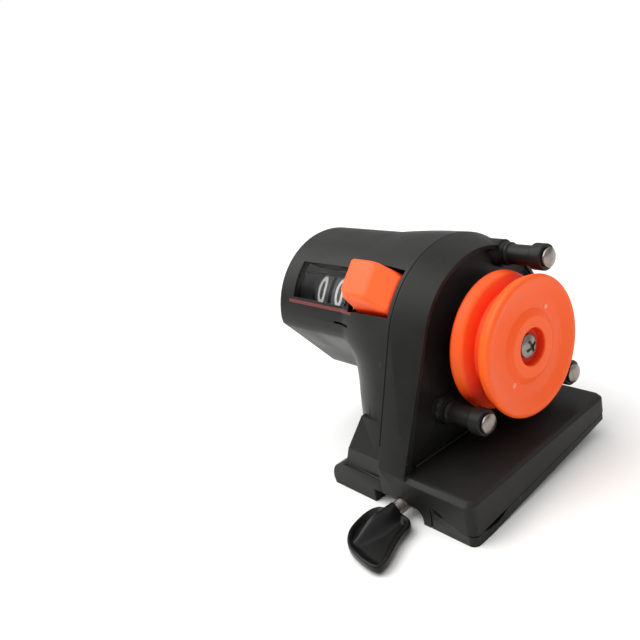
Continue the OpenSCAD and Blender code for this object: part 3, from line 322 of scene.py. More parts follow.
class StageSettings(bpy.types.PropertyGroup):
    """Floor, light and camera."""

    floor: colour("Floor", "Pale floor", "#f4f4f2")
    reach: size("Floor reach", "Half width of the floor", 40000)
    sky: share("Sky", "Strength of the white surroundings", 0.95)
    sky_low: share("Low sky", "Share of that strength at and below the horizon", 0.2)
    sky_high: share("High sky", "Share of that strength straight overhead", 1.4)
    key: share("Key light", "Strength of the sun-like main light", 2.2)
    key_soft: angle("Key softness", "Angle that the main light fills, seen from the part", 60)
    key_along: along("Key direction", "Direction in which the main light shines", (0.5, 0.4, -0.77))
    lens: bpy.props.FloatProperty(name="Lens", description="Focal length in mm", default=41.9)
    sensor: bpy.props.FloatProperty(name="Sensor", description="Width of the sensor in mm", default=36)
    camera_x: size("Camera across", "Place of the camera to the right of the part", 127.87)
    camera_y: size("Camera depth", "Place of the camera, where the front is less than zero", -154.95)
    camera_z: size("Camera height", "Height of the camera", 128.44)
    camera_right: along("Camera right", "What the picture shows as right", (0.6235, 0.754, -0.205))
    camera_up: along("Camera up", "What the picture shows as up", (-0.1455, 0.370, 0.918))
    camera_ahead: along("Camera ahead", "Where the camera looks", (-0.768, 0.542, -0.340))


class LineCounterSettings(bpy.types.PropertyGroup):
    """All settings of the line counter."""

    shell: bpy.props.PointerProperty(type=ShellSettings)
    wheel: bpy.props.PointerProperty(type=WheelSettings)
    screw: bpy.props.PointerProperty(type=ScrewSettings)
    guide: bpy.props.PointerProperty(type=GuideSettings)
    counter: bpy.props.PointerProperty(type=CounterSettings)
    button: bpy.props.PointerProperty(type=ButtonSettings)
    clamp: bpy.props.PointerProperty(type=ClampSettings)
    finish: bpy.props.PointerProperty(type=FinishSettings)
    stage: bpy.props.PointerProperty(type=StageSettings)


def add(tree, kind, inputs=None, **settings):
    """Adds a node with its settings; an input is a value, or another node's socket to link."""
    node = tree.nodes.new(kind)
    for key, value in settings.items():
        setattr(node, key, value)
    for key, value in (inputs or {}).items():
        if isinstance(value, bpy.types.NodeSocket):
            tree.links.new(value, node.inputs[key])
        else:
            node.inputs[key].default_value = value
    return node


def grain(size_mm):
    """Noise scale whose features are about that many millimetres across."""
    return 1 / (size_mm * MM)


def start_material(name):
    """A new material, its tree, and its Object coordinates."""
    material = bpy.data.materials.new(name)
    material.use_nodes = True
    tree = material.node_tree
    tree.nodes.clear()
    coords = add(tree, "ShaderNodeTexCoord").outputs["Object"]
    return material, tree, coords


def lighter(shade, part):
    """A colour moved towards white by a share."""
    return [c + (1 - c) * part for c in shade[:3]] + [1.0]


def darker(shade, part):
    """A colour moved towards black by a share."""
    return [c * (1 - part) for c in shade[:3]] + [1.0]


def moulded_abs(name, shade, painted_crevice_shade, rough, edge_wear_and_highlight, shine, glow=0.0):
    """ABS from a spark-eroded mould: fine matt grain, cloudy gloss, a little dust, edges lightened partly as
    rubbed wear and partly as a painted highlight, and painted shade mixed in where crevices are occluded.
    """
    material, tree, coords = start_material(name)
    # Mould grain is about 0.1 mm; drawn at 0.45 mm so that it shows
    fine = add(tree, "ShaderNodeTexNoise", {"Vector": coords, "Scale": grain(0.45), "Detail": 3.0})
    cloud = add(tree, "ShaderNodeTexNoise", {"Vector": coords, "Scale": grain(14), "Detail": 4.0})
    dust = add(tree, "ShaderNodeTexNoise", {"Vector": coords, "Scale": grain(1.3), "Detail": 2.0})
    specks = add(tree, "ShaderNodeMapRange", {
        "Value": dust.outputs["Fac"], "From Min": 0.73, "From Max": 0.8, "To Min": 0.0, "To Max": 0.25})
    round_edge = add(tree, "ShaderNodeBevel", {"Radius": 0.35 * MM}, samples=4)
    flat = add(tree, "ShaderNodeNewGeometry")
    same = add(tree, "ShaderNodeVectorMath", {
        0: round_edge.outputs["Normal"], 1: flat.outputs["Normal"]}, operation="DOT_PRODUCT")
    edge = add(tree, "ShaderNodeMapRange", {
        "Value": same.outputs["Value"], "From Min": 0.995, "From Max": 0.8, "To Min": 0.0, "To Max": edge_wear_and_highlight})
    tone = add(tree, "ShaderNodeMix", {
        "Factor": cloud.outputs["Fac"], "A": darker(shade, 0.12), "B": lighter(shade, 0.008)},
        data_type="RGBA")
    # Painted shade: where the AO node finds near surfaces, the colour is mixed towards a given shade colour;
    # for orange it is a redder orange standing in for shade and the light that orange faces throw on each
    # other.
    open_to = add(tree, "ShaderNodeAmbientOcclusion", {"Distance": 9 * MM}, samples=8)
    painted_shade_mask = add(tree, "ShaderNodeMapRange", {
        "Value": open_to.outputs["AO"], "From Min": 0.4, "From Max": 0.92, "To Min": 1.0, "To Max": 0.0})
    shaded = add(tree, "ShaderNodeMix", {
        "Factor": painted_shade_mask.outputs["Result"], "A": tone.outputs["Result"], "B": list(painted_crevice_shade)},
        data_type="RGBA")
    # Convex edges are lightened, partly as rubbed wear and partly as a painted highlight.
    worn_and_highlit = add(tree, "ShaderNodeMix", {
        "Factor": edge.outputs["Result"], "A": shaded.outputs["Result"], "B": lighter(shade, 0.14)},
        data_type="RGBA")
    dusty = add(tree, "ShaderNodeMix", {
        "Factor": specks.outputs["Result"], "A": worn_and_highlit.outputs["Result"], "B": lighter(shade, 0.2)},
        data_type="RGBA")
    gloss = add(tree, "ShaderNodeMapRange", {
        "Value": cloud.outputs["Fac"], "From Min": 0.3, "From Max": 0.7,
        "To Min": rough - 0.06, "To Max": rough + 0.08})
    bump = add(tree, "ShaderNodeBump", {
        "Height": fine.outputs["Fac"], "Strength": 0.1, "Distance": 0.08 * MM,
        "Normal": round_edge.outputs["Normal"]})
    shader = add(tree, "ShaderNodeBsdfPrincipled", {
        "Base Color": dusty.outputs["Result"], "Roughness": gloss.outputs["Result"],
        "Normal": bump.outputs["Normal"], "IOR": 1.52, "Specular IOR Level": shine})
    if glow:
        # Orange ABS lets a little light in, so its thin edges glow
        shader.inputs["Subsurface Weight"].default_value = glow
        shader.inputs["Subsurface Radius"].default_value = (1.0, 0.35, 0.1)
        shader.inputs["Subsurface Scale"].default_value = 1.2 * MM
    add(tree, "ShaderNodeOutputMaterial", {"Surface": shader.outputs[0]})
    return material


def turned_metal(name, shade, rough=0.28):
    """Turned or rolled metal: bright, with fine tool lines round the axis and a few handling marks."""
    material, tree, coords = start_material(name)
    # Tool lines are about 0.1 mm apart; drawn at 0.35 mm so that they show
    lines = add(tree, "ShaderNodeTexNoise", {
        "Vector": add(tree, "ShaderNodeMapping", {"Vector": coords, "Scale": (1.0, 0.15, 0.15)}).outputs[0],
        "Scale": grain(0.35), "Detail": 2.0})
    marks = add(tree, "ShaderNodeTexNoise", {"Vector": coords, "Scale": grain(1.6), "Detail": 5.0})
    tone = add(tree, "ShaderNodeMix", {
        "Factor": marks.outputs["Fac"], "A": darker(shade, 0.28), "B": lighter(shade, 0.15)},
        data_type="RGBA")
    gloss = add(tree, "ShaderNodeMapRange", {
        "Value": marks.outputs["Fac"], "To Min": rough - 0.1, "To Max": rough + 0.16})
    bump = add(tree, "ShaderNodeBump", {
        "Height": lines.outputs["Fac"], "Strength": 0.12, "Distance": 0.03 * MM})
    shader = add(tree, "ShaderNodeBsdfPrincipled", {
        "Base Color": tone.outputs["Result"], "Roughness": gloss.outputs["Result"], "Metallic": 1.0,
        "Normal": bump.outputs["Normal"]})
    add(tree, "ShaderNodeOutputMaterial", {"Surface": shader.outputs[0]})
    return material


def moulded_acetal(name, shade, rough):
    """Acetal gears and wheels: waxy and even, with faint flow clouds and fine ribs round the axis."""
    material, tree, coords = start_material(name)
    flow = add(tree, "ShaderNodeTexNoise", {"Vector": coords, "Scale": grain(4), "Detail": 3.0})
    ribs = add(tree, "ShaderNodeTexWave", {
        "Vector": coords, "Scale": grain(0.9) / math.tau, "Distortion": 0.6, "Detail": 1.0},
        bands_direction="X")
    tone = add(tree, "ShaderNodeMix", {
        "Factor": flow.outputs["Fac"], "A": darker(shade, 0.2), "B": lighter(shade, 0.03)},
        data_type="RGBA")
    bump = add(tree, "ShaderNodeBump", {
        "Height": ribs.outputs["Fac"], "Strength": 0.15, "Distance": 0.05 * MM})
    shader = add(tree, "ShaderNodeBsdfPrincipled", {
        "Base Color": tone.outputs["Result"], "Roughness": rough, "IOR": 1.48,
        "Normal": bump.outputs["Normal"]})
    add(tree, "ShaderNodeOutputMaterial", {"Surface": shader.outputs[0]})
    return material


def moulded_rubber(name, shade):
    """Rubber pads: dull, with a slightly bloomed skin."""
    material, tree, coords = start_material(name)
    bloom = add(tree, "ShaderNodeTexNoise", {"Vector": coords, "Scale": grain(2.5), "Detail": 4.0})
    tone = add(tree, "ShaderNodeMix", {
        "Factor": bloom.outputs["Fac"], "A": darker(shade, 0.3), "B": lighter(shade, 0.003)},
        data_type="RGBA")
    bump = add(tree, "ShaderNodeBump", {
        "Height": bloom.outputs["Fac"], "Strength": 0.2, "Distance": 0.1 * MM})
    shader = add(tree, "ShaderNodeBsdfPrincipled", {
        "Base Color": tone.outputs["Result"], "Roughness": 0.8, "Normal": bump.outputs["Normal"],
        "Specular IOR Level": 0.1})
    add(tree, "ShaderNodeOutputMaterial", {"Surface": shader.outputs[0]})
    return material


def printed_ink(name, shade):
    """Pad-printed ink: thin and matt, with small gaps where it has rubbed."""
    material, tree, coords = start_material(name)
    rub = add(tree, "ShaderNodeTexNoise", {"Vector": coords, "Scale": grain(0.8), "Detail": 5.0})
    tone = add(tree, "ShaderNodeMix", {
        "Factor": rub.outputs["Fac"], "A": darker(shade, 0.25), "B": lighter(shade, 0.06)},
        data_type="RGBA")
    shader = add(tree, "ShaderNodeBsdfPrincipled", {
        "Base Color": tone.outputs["Result"], "Roughness": 0.55, "Specular IOR Level": 0.2})
    add(tree, "ShaderNodeOutputMaterial", {"Surface": shader.outputs[0]})
    return material


def clear_acrylic(name):
    """Polished acrylic window: clear, with a faint smear in its gloss."""
    material, tree, coords = start_material(name)
    smear = add(tree, "ShaderNodeTexNoise", {"Vector": coords, "Scale": grain(5), "Detail": 3.0})
    gloss = add(tree, "ShaderNodeMapRange", {"Value": smear.outputs["Fac"], "To Min": 0.02, "To Max": 0.12})
    # A low IOR keeps a thin window from bending and dimming what lies behind it
    shader = add(tree, "ShaderNodeBsdfPrincipled", {
        "Base Color": (1, 1, 1, 1), "Roughness": gloss.outputs["Result"], "IOR": 1.1,
        "Transmission Weight": 1.0})
    add(tree, "ShaderNodeOutputMaterial", {"Surface": shader.outputs[0]})
    return material


def painted_floor(name, shade):
    """Pale painted floor: matt, with a very faint mottle."""
    material, tree, coords = start_material(name)
    mottle = add(tree, "ShaderNodeTexNoise", {"Vector": coords, "Scale": grain(60), "Detail": 3.0})
    tone = add(tree, "ShaderNodeMix", {
        "Factor": mottle.outputs["Fac"], "A": darker(shade, 0.02), "B": list(shade)}, data_type="RGBA")
    shader = add(tree, "ShaderNodeBsdfPrincipled", {"Base Color": tone.outputs["Result"], "Roughness": 0.7})
    add(tree, "ShaderNodeOutputMaterial", {"Surface": shader.outputs[0]})
    return material


# Materials by slot or trim name, and node trees by use; the first operator fills both
FINISH = {}
TREES = {}


def make_finishes(finish):
    """Makes each material once, by slot or trim name."""
    FINISH.update({
        "black_abs": moulded_abs("moulded_black_abs", finish.black, finish.black, 0.4, 0.2, 0.17),
        "gloss_black": moulded_abs("moulded_black_nylon", finish.gloss, finish.gloss, 0.2, 0.1, 0.2),
        "orange_abs": moulded_abs("moulded_orange_abs", finish.orange, finish.deep_orange, 0.45, 0.1, 0.3,
                                  glow=0.1),
        "pale_abs": moulded_abs("pale_orange_abs", finish.pale, finish.pale, 0.5, 0.1, 0.25),
        "steel": turned_metal("turned_stainless_steel", finish.steel),
        "brass": turned_metal("turned_brass", finish.brass, 0.32),
        "white_acetal": moulded_acetal("natural_acetal", finish.acetal, 0.42),
        "grey_acetal": moulded_acetal("grey_acetal", finish.grey, 0.5),
        "rubber": moulded_rubber("moulded_rubber", finish.rubber),
        "clear_lens": clear_acrylic("clear_acrylic"),
        "white_ink": printed_ink("white_ink", finish.white),
        "red_ink": printed_ink("red_ink", finish.red),
    })


def slot_of(node):
    """The record's material slot of a node."""
    return next(s["material_slot"] for s in frame["record"]["subparts"] if s["node"] == node)


def place(mesh, name, finish, body, slot, *nodes):
    """Turns a finished mesh into a piece that rides on a body and stands for its nodes."""
    piece = bpy.data.objects.new(name, mesh)
    bpy.context.scene.collection.objects.link(piece)
    mesh.materials.clear()
    mesh.materials.append(FINISH[finish])
    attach(piece, body)
    if nodes:
        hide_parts(*nodes)
    return piece


def bake(mesh, name, kind, inputs=None, **settings):
    """The mesh with one modifier applied; inputs are values for a node tree's sockets, by name."""
    carrier = bpy.data.objects.new(name, mesh)
    bpy.context.scene.collection.objects.link(carrier)
    modifier = carrier.modifiers.new(name, kind)
    for key, value in settings.items():
        setattr(modifier, key, value)
    for key, value in (inputs or {}).items():
        modifier[modifier.node_group.interface.items_tree[key].identifier] = value
    carrier.update_tag()
    graph = bpy.context.evaluated_depsgraph_get()
    result = bpy.data.meshes.new_from_object(
        carrier.evaluated_get(graph), preserve_all_data_layers=True, depsgraph=graph)
    bpy.data.objects.remove(carrier)
    result.name = name
    return result


def close_up(mesh, sharp=35.0, recalculate=True):
    """Merges doubles, points faces outwards and shades all but sharp edges smooth; flat faces stay flat."""
    work = bmesh.new()
    work.from_mesh(mesh)
    bmesh.ops.remove_doubles(work, verts=work.verts, dist=0.002 * MM)
    bmesh.ops.dissolve_degenerate(work, edges=work.edges, dist=0.001 * MM)
    if recalculate:
        bmesh.ops.recalc_face_normals(work, faces=work.faces)
    work.to_mesh(mesh)
    work.free()
    mesh.shade_smooth()
    mesh.set_sharp_from_angle(angle=math.radians(sharp))
    return bake(mesh, mesh.name, "WEIGHTED_NORMAL", weight=100, keep_sharp=True)


def smooth_copy(node, name, finish, sharp=24.0):
    """A merged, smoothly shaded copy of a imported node, in its place."""
    mesh = close_up(frame["nodes"][node].data.copy(), sharp, recalculate=False)
    return place(mesh, name, finish, frame["nodes"][node]["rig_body"], slot_of(node), node)


def from_rows(name, points, faces):
    """A mesh from points and faces."""
    mesh = bpy.data.meshes.new(name)
    mesh.from_pydata(points, [], faces)
    return mesh


def joined(name, *meshes):
    """Several meshes as one."""
    work = bmesh.new()
    for mesh in meshes:
        work.from_mesh(mesh)
    mesh = bpy.data.meshes.new(name)
    work.to_mesh(mesh)
    work.free()
    return mesh


def block(name, low, high):
    """A box from its lowest to its highest corner."""
    corners = [(x, y, z) for x in (low[0], high[0]) for y in (low[1], high[1]) for z in (low[2], high[2])]
    return from_rows(name, corners, [
        (0, 1, 3, 2), (4, 6, 7, 5), (0, 4, 5, 1), (2, 3, 7, 6), (0, 2, 6, 4), (1, 5, 7, 3)])


def steps(low, high, number):
    """Even steps from one value to another, both included."""
    return [low + (high - low) * k / number for k in range(number + 1)]


def ease(part):
    """A soft step from 0 to 1."""
    part = min(1, max(0, part))
    return part * part * (3 - 2 * part)


def on_drum(direction):
    """Frame of a feature on the drum: x stays, y runs up round the drum, z points out of it."""
    drum_z = bpy.context.scene.line_counter.counter.drum_z
    return Matrix.Translation((0, 0, drum_z)) @ Matrix.Rotation(direction, 4, "X")


def skin_strip(name, nodes, centre_z, lift, xs, angles):
    """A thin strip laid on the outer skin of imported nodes, seen from an axis along X."""
    outside = 100 * MM
    work = bmesh.new()
    for node in nodes:
        work.from_mesh(frame["nodes"][node].data)
    skin = BVHTree.FromBMesh(work)
    work.free()
    points, faces = [], []
    for direction in angles:
        out = Vector((0, -math.sin(direction), math.cos(direction)))
        for x in xs:
            spot = skin.ray_cast(Vector((x, 0, centre_z)) + out * outside, -out)[0]
            if spot is None:
                raise RuntimeError(name + " misses the skin")
            points.append(spot + out * lift)
    wide = len(xs)
    for row in range(len(angles) - 1):
        for k in range(wide - 1):
            a = row * wide + k
            faces.append((a, a + 1, a + wide + 1, a + wide))
    return from_rows(name, points, faces)


def start_tree(name, source, inputs):
    """A new Geometry Nodes tree with its named inputs, and their sockets."""
    tree = bpy.data.node_groups.new(name, "GeometryNodeTree")
    for label, kind in {source: "Geometry", **inputs, "Material": "Material"}.items():
        tree.interface.new_socket(label, in_out="INPUT", socket_type="NodeSocket" + kind)
    tree.interface.new_socket("Geometry", in_out="OUTPUT", socket_type="NodeSocketGeometry")
    return tree, add(tree, "NodeGroupInput").outputs


def end_tree(tree, geometry, material):
    """Makes copies real, gives them their material and joins them to the tree's output."""
    real = add(tree, "GeometryNodeRealizeInstances", {"Geometry": geometry})
    painted = add(tree, "GeometryNodeSetMaterial", {
        "Geometry": real.outputs["Geometry"], "Material": material})
    add(tree, "NodeGroupOutput", {"Geometry": painted.outputs["Geometry"]})
    return tree


def turning_tree():
    """Geometry Nodes that turn a profile of x and radius about the X axis, with rounded corners."""
    tree, given = start_tree("turned_piece", "Profile", {
        "Axis": "Vector", "Segments": "Int", "Corner Steps": "Int"})
    corner = add(tree, "GeometryNodeInputNamedAttribute", {"Name": "rounding"}, data_type="FLOAT")
    outline = add(tree, "GeometryNodeMeshToCurve", {"Mesh": given["Profile"]})
    rounded = add(tree, "GeometryNodeFilletCurve", {
        "Curve": outline.outputs["Curve"], "Count": given["Corner Steps"],
        "Radius": corner.outputs["Attribute"], "Limit Radius": True}, mode="POLY")
    points = add(tree, "GeometryNodeCurveToMesh", {"Curve": rounded.outputs["Curve"]})
    total = add(tree, "GeometryNodeAttributeDomainSize", {"Geometry": points.outputs["Mesh"]})
    rows = add(tree, "ShaderNodeMath", {0: given["Segments"], 1: 1.0}, operation="ADD")
    grid = add(tree, "GeometryNodeMeshGrid", {
        "Vertices X": total.outputs["Point Count"], "Vertices Y": rows.outputs[0]})
    index = add(tree, "GeometryNodeInputIndex").outputs[0]
    column = add(tree, "ShaderNodeMath", {0: index, 1: rows.outputs[0]}, operation="DIVIDE")
    step = add(tree, "ShaderNodeMath", {0: column.outputs[0]}, operation="FLOOR")
    row = add(tree, "ShaderNodeMath", {0: index, 1: rows.outputs[0]}, operation="MODULO")
    part = add(tree, "ShaderNodeMath", {0: row.outputs[0], 1: given["Segments"]}, operation="DIVIDE")
    turn = add(tree, "ShaderNodeMath", {0: part.outputs[0], 1: math.tau}, operation="MULTIPLY")
    spot = add(tree, "GeometryNodeSampleIndex", {
        "Geometry": points.outputs["Mesh"], "Value": add(tree, "GeometryNodeInputPosition").outputs[0],
        "Index": step.outputs[0]}, data_type="FLOAT_VECTOR")
    swung = add(tree, "ShaderNodeVectorRotate", {
        "Vector": spot.outputs[0], "Angle": turn.outputs[0]}, rotation_type="X_AXIS")
    moved = add(tree, "ShaderNodeVectorMath", {0: swung.outputs[0], 1: given["Axis"]}, operation="ADD")
    shaped = add(tree, "GeometryNodeSetPosition", {
        "Geometry": grid.outputs["Mesh"], "Position": moved.outputs[0]})
    merged = add(tree, "GeometryNodeMergeByDistance", {
        "Geometry": shaped.outputs["Geometry"], "Distance": 0.002 * MM})
    return end_tree(tree, merged.outputs["Geometry"], given["Material"])


def coil_tree():
    """Geometry Nodes that wind a round wire into a coil up the Z axis."""
    tree, given = start_tree("wound_coil", "Geometry", {
        "Radius": "Float", "Height": "Float", "Turns": "Float", "Wire": "Float"})
    path = add(tree, "GeometryNodeCurveSpiral", {
        "Resolution": 28, "Rotations": given["Turns"], "Start Radius": given["Radius"],
        "End Radius": given["Radius"], "Height": given["Height"]})
    section = add(tree, "GeometryNodeCurvePrimitiveCircle", {"Resolution": 10, "Radius": given["Wire"]})
    wire = add(tree, "GeometryNodeCurveToMesh", {
        "Curve": path.outputs["Curve"], "Profile Curve": section.outputs["Curve"], "Fill Caps": True})
    return end_tree(tree, wire.outputs["Mesh"], given["Material"])


def marks_tree():
    """Geometry Nodes that set a flat round mark on each point."""
    tree, given = start_tree("moulded_marks", "Points", {"Radius": "Float", "Height": "Float"})
    ball = add(tree, "GeometryNodeMeshUVSphere", {"Segments": 24, "Rings": 12, "Radius": given["Radius"]})
    flat = add(tree, "ShaderNodeMath", {0: given["Height"], 1: given["Radius"]}, operation="DIVIDE")
    shape = add(tree, "ShaderNodeCombineXYZ", {"X": flat.outputs[0], "Y": 1.0, "Z": 1.0})
    copies = add(tree, "GeometryNodeInstanceOnPoints", {
        "Points": given["Points"], "Instance": ball.outputs["Mesh"], "Scale": shape.outputs[0]})
    return end_tree(tree, copies.outputs["Instances"], given["Material"])


def turned(name, profile, axis, finish, segments, closed=True):
    """A piece turned about an axis along X; the profile is rows of x, radius and corner rounding."""
    source = bpy.data.meshes.new(name)
    edges = [(i, i + 1) for i in range(len(profile) - 1)]
    if closed:
        edges.append((len(profile) - 1, 0))
    source.from_pydata([(x, r, 0) for x, r, _ in profile], edges, [])
    rounding = source.attributes.new("rounding", "FLOAT", "POINT")
    rounding.data.foreach_set("value", [c for _, _, c in profile])
    mesh = bake(source, name, "NODES", {
        "Axis": (0, axis.y, axis.z), "Segments": segments, "Corner Steps": CORNER_STEPS,
        "Material": FINISH[finish]}, node_group=TREES["turned"])
    return close_up(mesh)


def coil(name, radius, height, turns, wire):
    """A steel wire wound up the Z axis; the wire is given by its radius."""
    return bake(bpy.data.meshes.new(name), name, "NODES", {
        "Radius": radius, "Height": height, "Turns": float(turns), "Wire": wire,
        "Material": FINISH["steel"]}, node_group=TREES["coil"])


def domed_head(seat, top, radius, edge, seat_round, edge_round):
    """Profile rows of a head: out at its seat, up its edge and over its crown to the axis."""
    shoulder = seat + edge
    rows = [(seat, radius, seat_round), (shoulder, radius, edge_round)]
    for part in steps(0, 1, HEAD_STEPS)[1:]:
        rows.append((shoulder + (top - shoulder) * (1 - (1 - part) ** 2), radius * (1 - part), 0))
    return rows


class LINECOUNTER_OT_finishes(bpy.types.Operator):
    """Makes the materials and node trees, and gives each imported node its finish"""

    bl_idname = "line_counter.finishes"
    bl_label = "Finishes"

    def execute(self, context):
        make_finishes(context.scene.line_counter.finish)
        TREES.update({"turned": turning_tree(), "coil": coil_tree(), "marks": marks_tree()})
        for name, node in frame["nodes"].items():
            node.data.materials.clear()
            node.data.materials.append(FINISH[slot_of(name)])
        return {"FINISHED"}


class LINECOUNTER_OT_shells(bpy.types.Operator):
    """Makes the frame, housing, jaw, pads, window and nut as smooth shells, with the rib, a dark strip
    painted as the seam's shadow and dark lenses painted as the shadow on the split
    """

    bl_idname = "line_counter.shells"
    bl_label = "Shells"

    def execute(self, context):
        s = context.scene.line_counter.shell
        for node in ("main_frame", "counter_housing", "rod_jaw", "base_pad", "jaw_pad", "window_lens",
                     "clamp_nut"):
            smooth_copy(node, node.replace("_", "-") + "-shell", slot_of(node))
        # Painted shadow: a thin dark rubber strip laid on the skin along the seam stands in for the seam's
        # shadow.
        across = steps(s.seam_x - s.seam_w / 2, s.seam_x + s.seam_w / 2, 2)
        seam_shadow_strip = skin_strip("seam-shadow-strip", ("counter_housing", "main_frame"), middle("line_wheel").z,
                            s.seam_lift, across, steps(s.seam_from, s.seam_to, 150))
        place(seam_shadow_strip, "seam-shadow-strip", "rubber", "frame", "rubber")
        rib = block("foot-rib", (s.rib_x, s.rib_front, s.rib_z),
                    (s.rib_x + s.rib_w, s.rib_back, s.rib_z + s.rib_h))
        rib = bake(rib, "foot-rib", "BEVEL", width=s.rib_edge, segments=3)
        place(close_up(rib), "foot-rib", "black_abs", "frame", "black_abs")
        # Painted shadow: a flat dark rubber lens on each side of the split at the front.
        self.pad_end(s, "base-split-shadow", "main_frame", "frame", s.pad_up)
        self.pad_end(s, "jaw-split-shadow", "rod_jaw", "jaw", -s.pad_down)
        return {"FINISHED"}

    def pad_end(self, s, name, node, body, bulge):
        """A flat dark rubber lens at the pad's front end, painted as the shadow of the gap on the split."""
        centre = Vector((s.pad_x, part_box(node)[0].y - s.pad_proud, s.pad_z))
        split = Vector((math.cos(s.pad_tilt), 0, -math.sin(s.pad_tilt)))
        points = [centre + s.pad_half * u * split + Vector((0, 0, bulge * (1 - u * u)))
                  for u in steps(-1, 1, 16)]
        mesh = from_rows(name, points, [tuple(range(len(points)))])
        place(mesh, name, "rubber", body, "rubber")


class LINECOUNTER_OT_wheel(bpy.types.Operator):
    """Turns the grooved line wheel with its ejector marks"""

    bl_idname = "line_counter.wheel"
    bl_label = "Line wheel"

    def execute(self, context):
        w = context.scene.line_counter.wheel
        axis = middle("line_wheel")
        low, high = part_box("line_wheel")
        rim_r = (high.z - low.z) / 2
        web_r = rim_r - w.rim
        lip_r = rim_r - w.lip_drop
        bore, hub, groove, ring, recess = (
            d / 2 for d in (w.bore_d, w.hub_d, w.groove_d, w.ring_d, w.recess_d))
        right, root = w.width / 2, w.groove_w / 2
        left = -right
        back_x, face_x = left + w.dish, right - w.dish
        ring_x = right - w.ring_drop
        floor_x = right - w.recess_depth
        profile = [
            (low.x, bore, 0), (low.x, hub, w.fillet), (back_x, hub, w.fillet),
            (back_x, web_r - w.back_slope, w.fillet), (left, web_r, w.rim_round),
            (left, rim_r, w.rim_round), (left + w.lip, lip_r, w.lip_round), (-root, groove, w.fillet),
            (root, groove, w.fillet), (right - w.lip, lip_r, w.lip_round), (right, rim_r, w.rim_round),
            (right, web_r, w.face_slope), (face_x, web_r - w.face_slope, w.face_slope),
            (face_x, ring + w.ring_out, w.ring_foot), (ring_x, ring - w.ring_in, w.ring_round),
            (ring_x, recess, w.fillet), (floor_x, recess, w.fillet), (floor_x, bore, 0)]
        mesh = turned("line-wheel", profile, axis, "orange_abs", w.segments)
        place(mesh, "line-wheel", "orange_abs", "line_wheel", "orange_abs", "line_wheel")
        marks = ((w.upper_mark_r, w.upper_mark_turn), (w.lower_mark_r, w.lower_mark_turn))
        spots = from_rows("wheel-marks", [
            (face_x, axis.y + r * math.cos(turn), axis.z + r * math.sin(turn)) for r, turn in marks], [])
        mesh = bake(spots, "wheel-marks", "NODES", {
            "Radius": w.mark_d / 2, "Height": w.mark_h, "Material": FINISH["pale_abs"]},
            node_group=TREES["marks"])
        place(close_up(mesh), "wheel-marks", "pale_abs", "line_wheel", "orange_abs")
        return {"FINISHED"}


class LINECOUNTER_OT_screw(bpy.types.Operator):
    """Turns the wheel's screw and washer, and cuts the screw's cross recess"""

    bl_idname = "line_counter.screw"
    bl_label = "Wheel screw"

    def execute(self, context):
        s = context.scene.line_counter.screw
        axis = middle("wheel_screw")
        low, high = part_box("wheel_screw")
        shank = s.shank_d / 2
        seat = high.x - s.head_h
        tip_round, seat_round, edge_round = 0.3 * MM, 0.15 * MM, 0.3 * MM
        rows = [(low.x, 0, 0), (low.x, shank, tip_round), (seat, shank, 0)]
        rows += domed_head(seat, high.x, s.head_d / 2, s.head_edge, seat_round, edge_round)
        mesh = turned("wheel-screw", rows, axis, "steel", s.segments, closed=False)
        arm, reach = s.slot / 2, s.reach / 2
        floor, over = high.x - s.depth, high.x + s.depth
        cutter = joined("cross", block("arm", (floor, -arm, -reach), (over, arm, reach)),
                        block("arm", (floor, -reach, -arm), (over, reach, arm)))
        cutter.transform(Matrix.Translation((0, axis.y, axis.z)) @ Matrix.Rotation(s.turn, 4, "X"))
        tool = bpy.data.objects.new("cross", cutter)
        context.scene.collection.objects.link(tool)
        mesh = bake(mesh, "wheel-screw", "BOOLEAN", object=tool, operation="DIFFERENCE", solver="EXACT",
                    use_self=True)
        bpy.data.objects.remove(tool)
        place(close_up(mesh), "wheel-screw", "steel", "line_wheel", "steel", "wheel_screw")
        low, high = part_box("wheel_washer")
        bore, rim, rim_round = shank + s.washer_gap, s.washer_d / 2, 0.1 * MM
        rows = [(low.x, bore, 0), (low.x, rim, rim_round), (high.x, rim, rim_round), (high.x, bore, 0)]
        mesh = turned("wheel-washer", rows, axis, "steel", s.segments)
        place(mesh, "wheel-washer", "steel", "line_wheel", "steel", "wheel_washer")
        return {"FINISHED"}


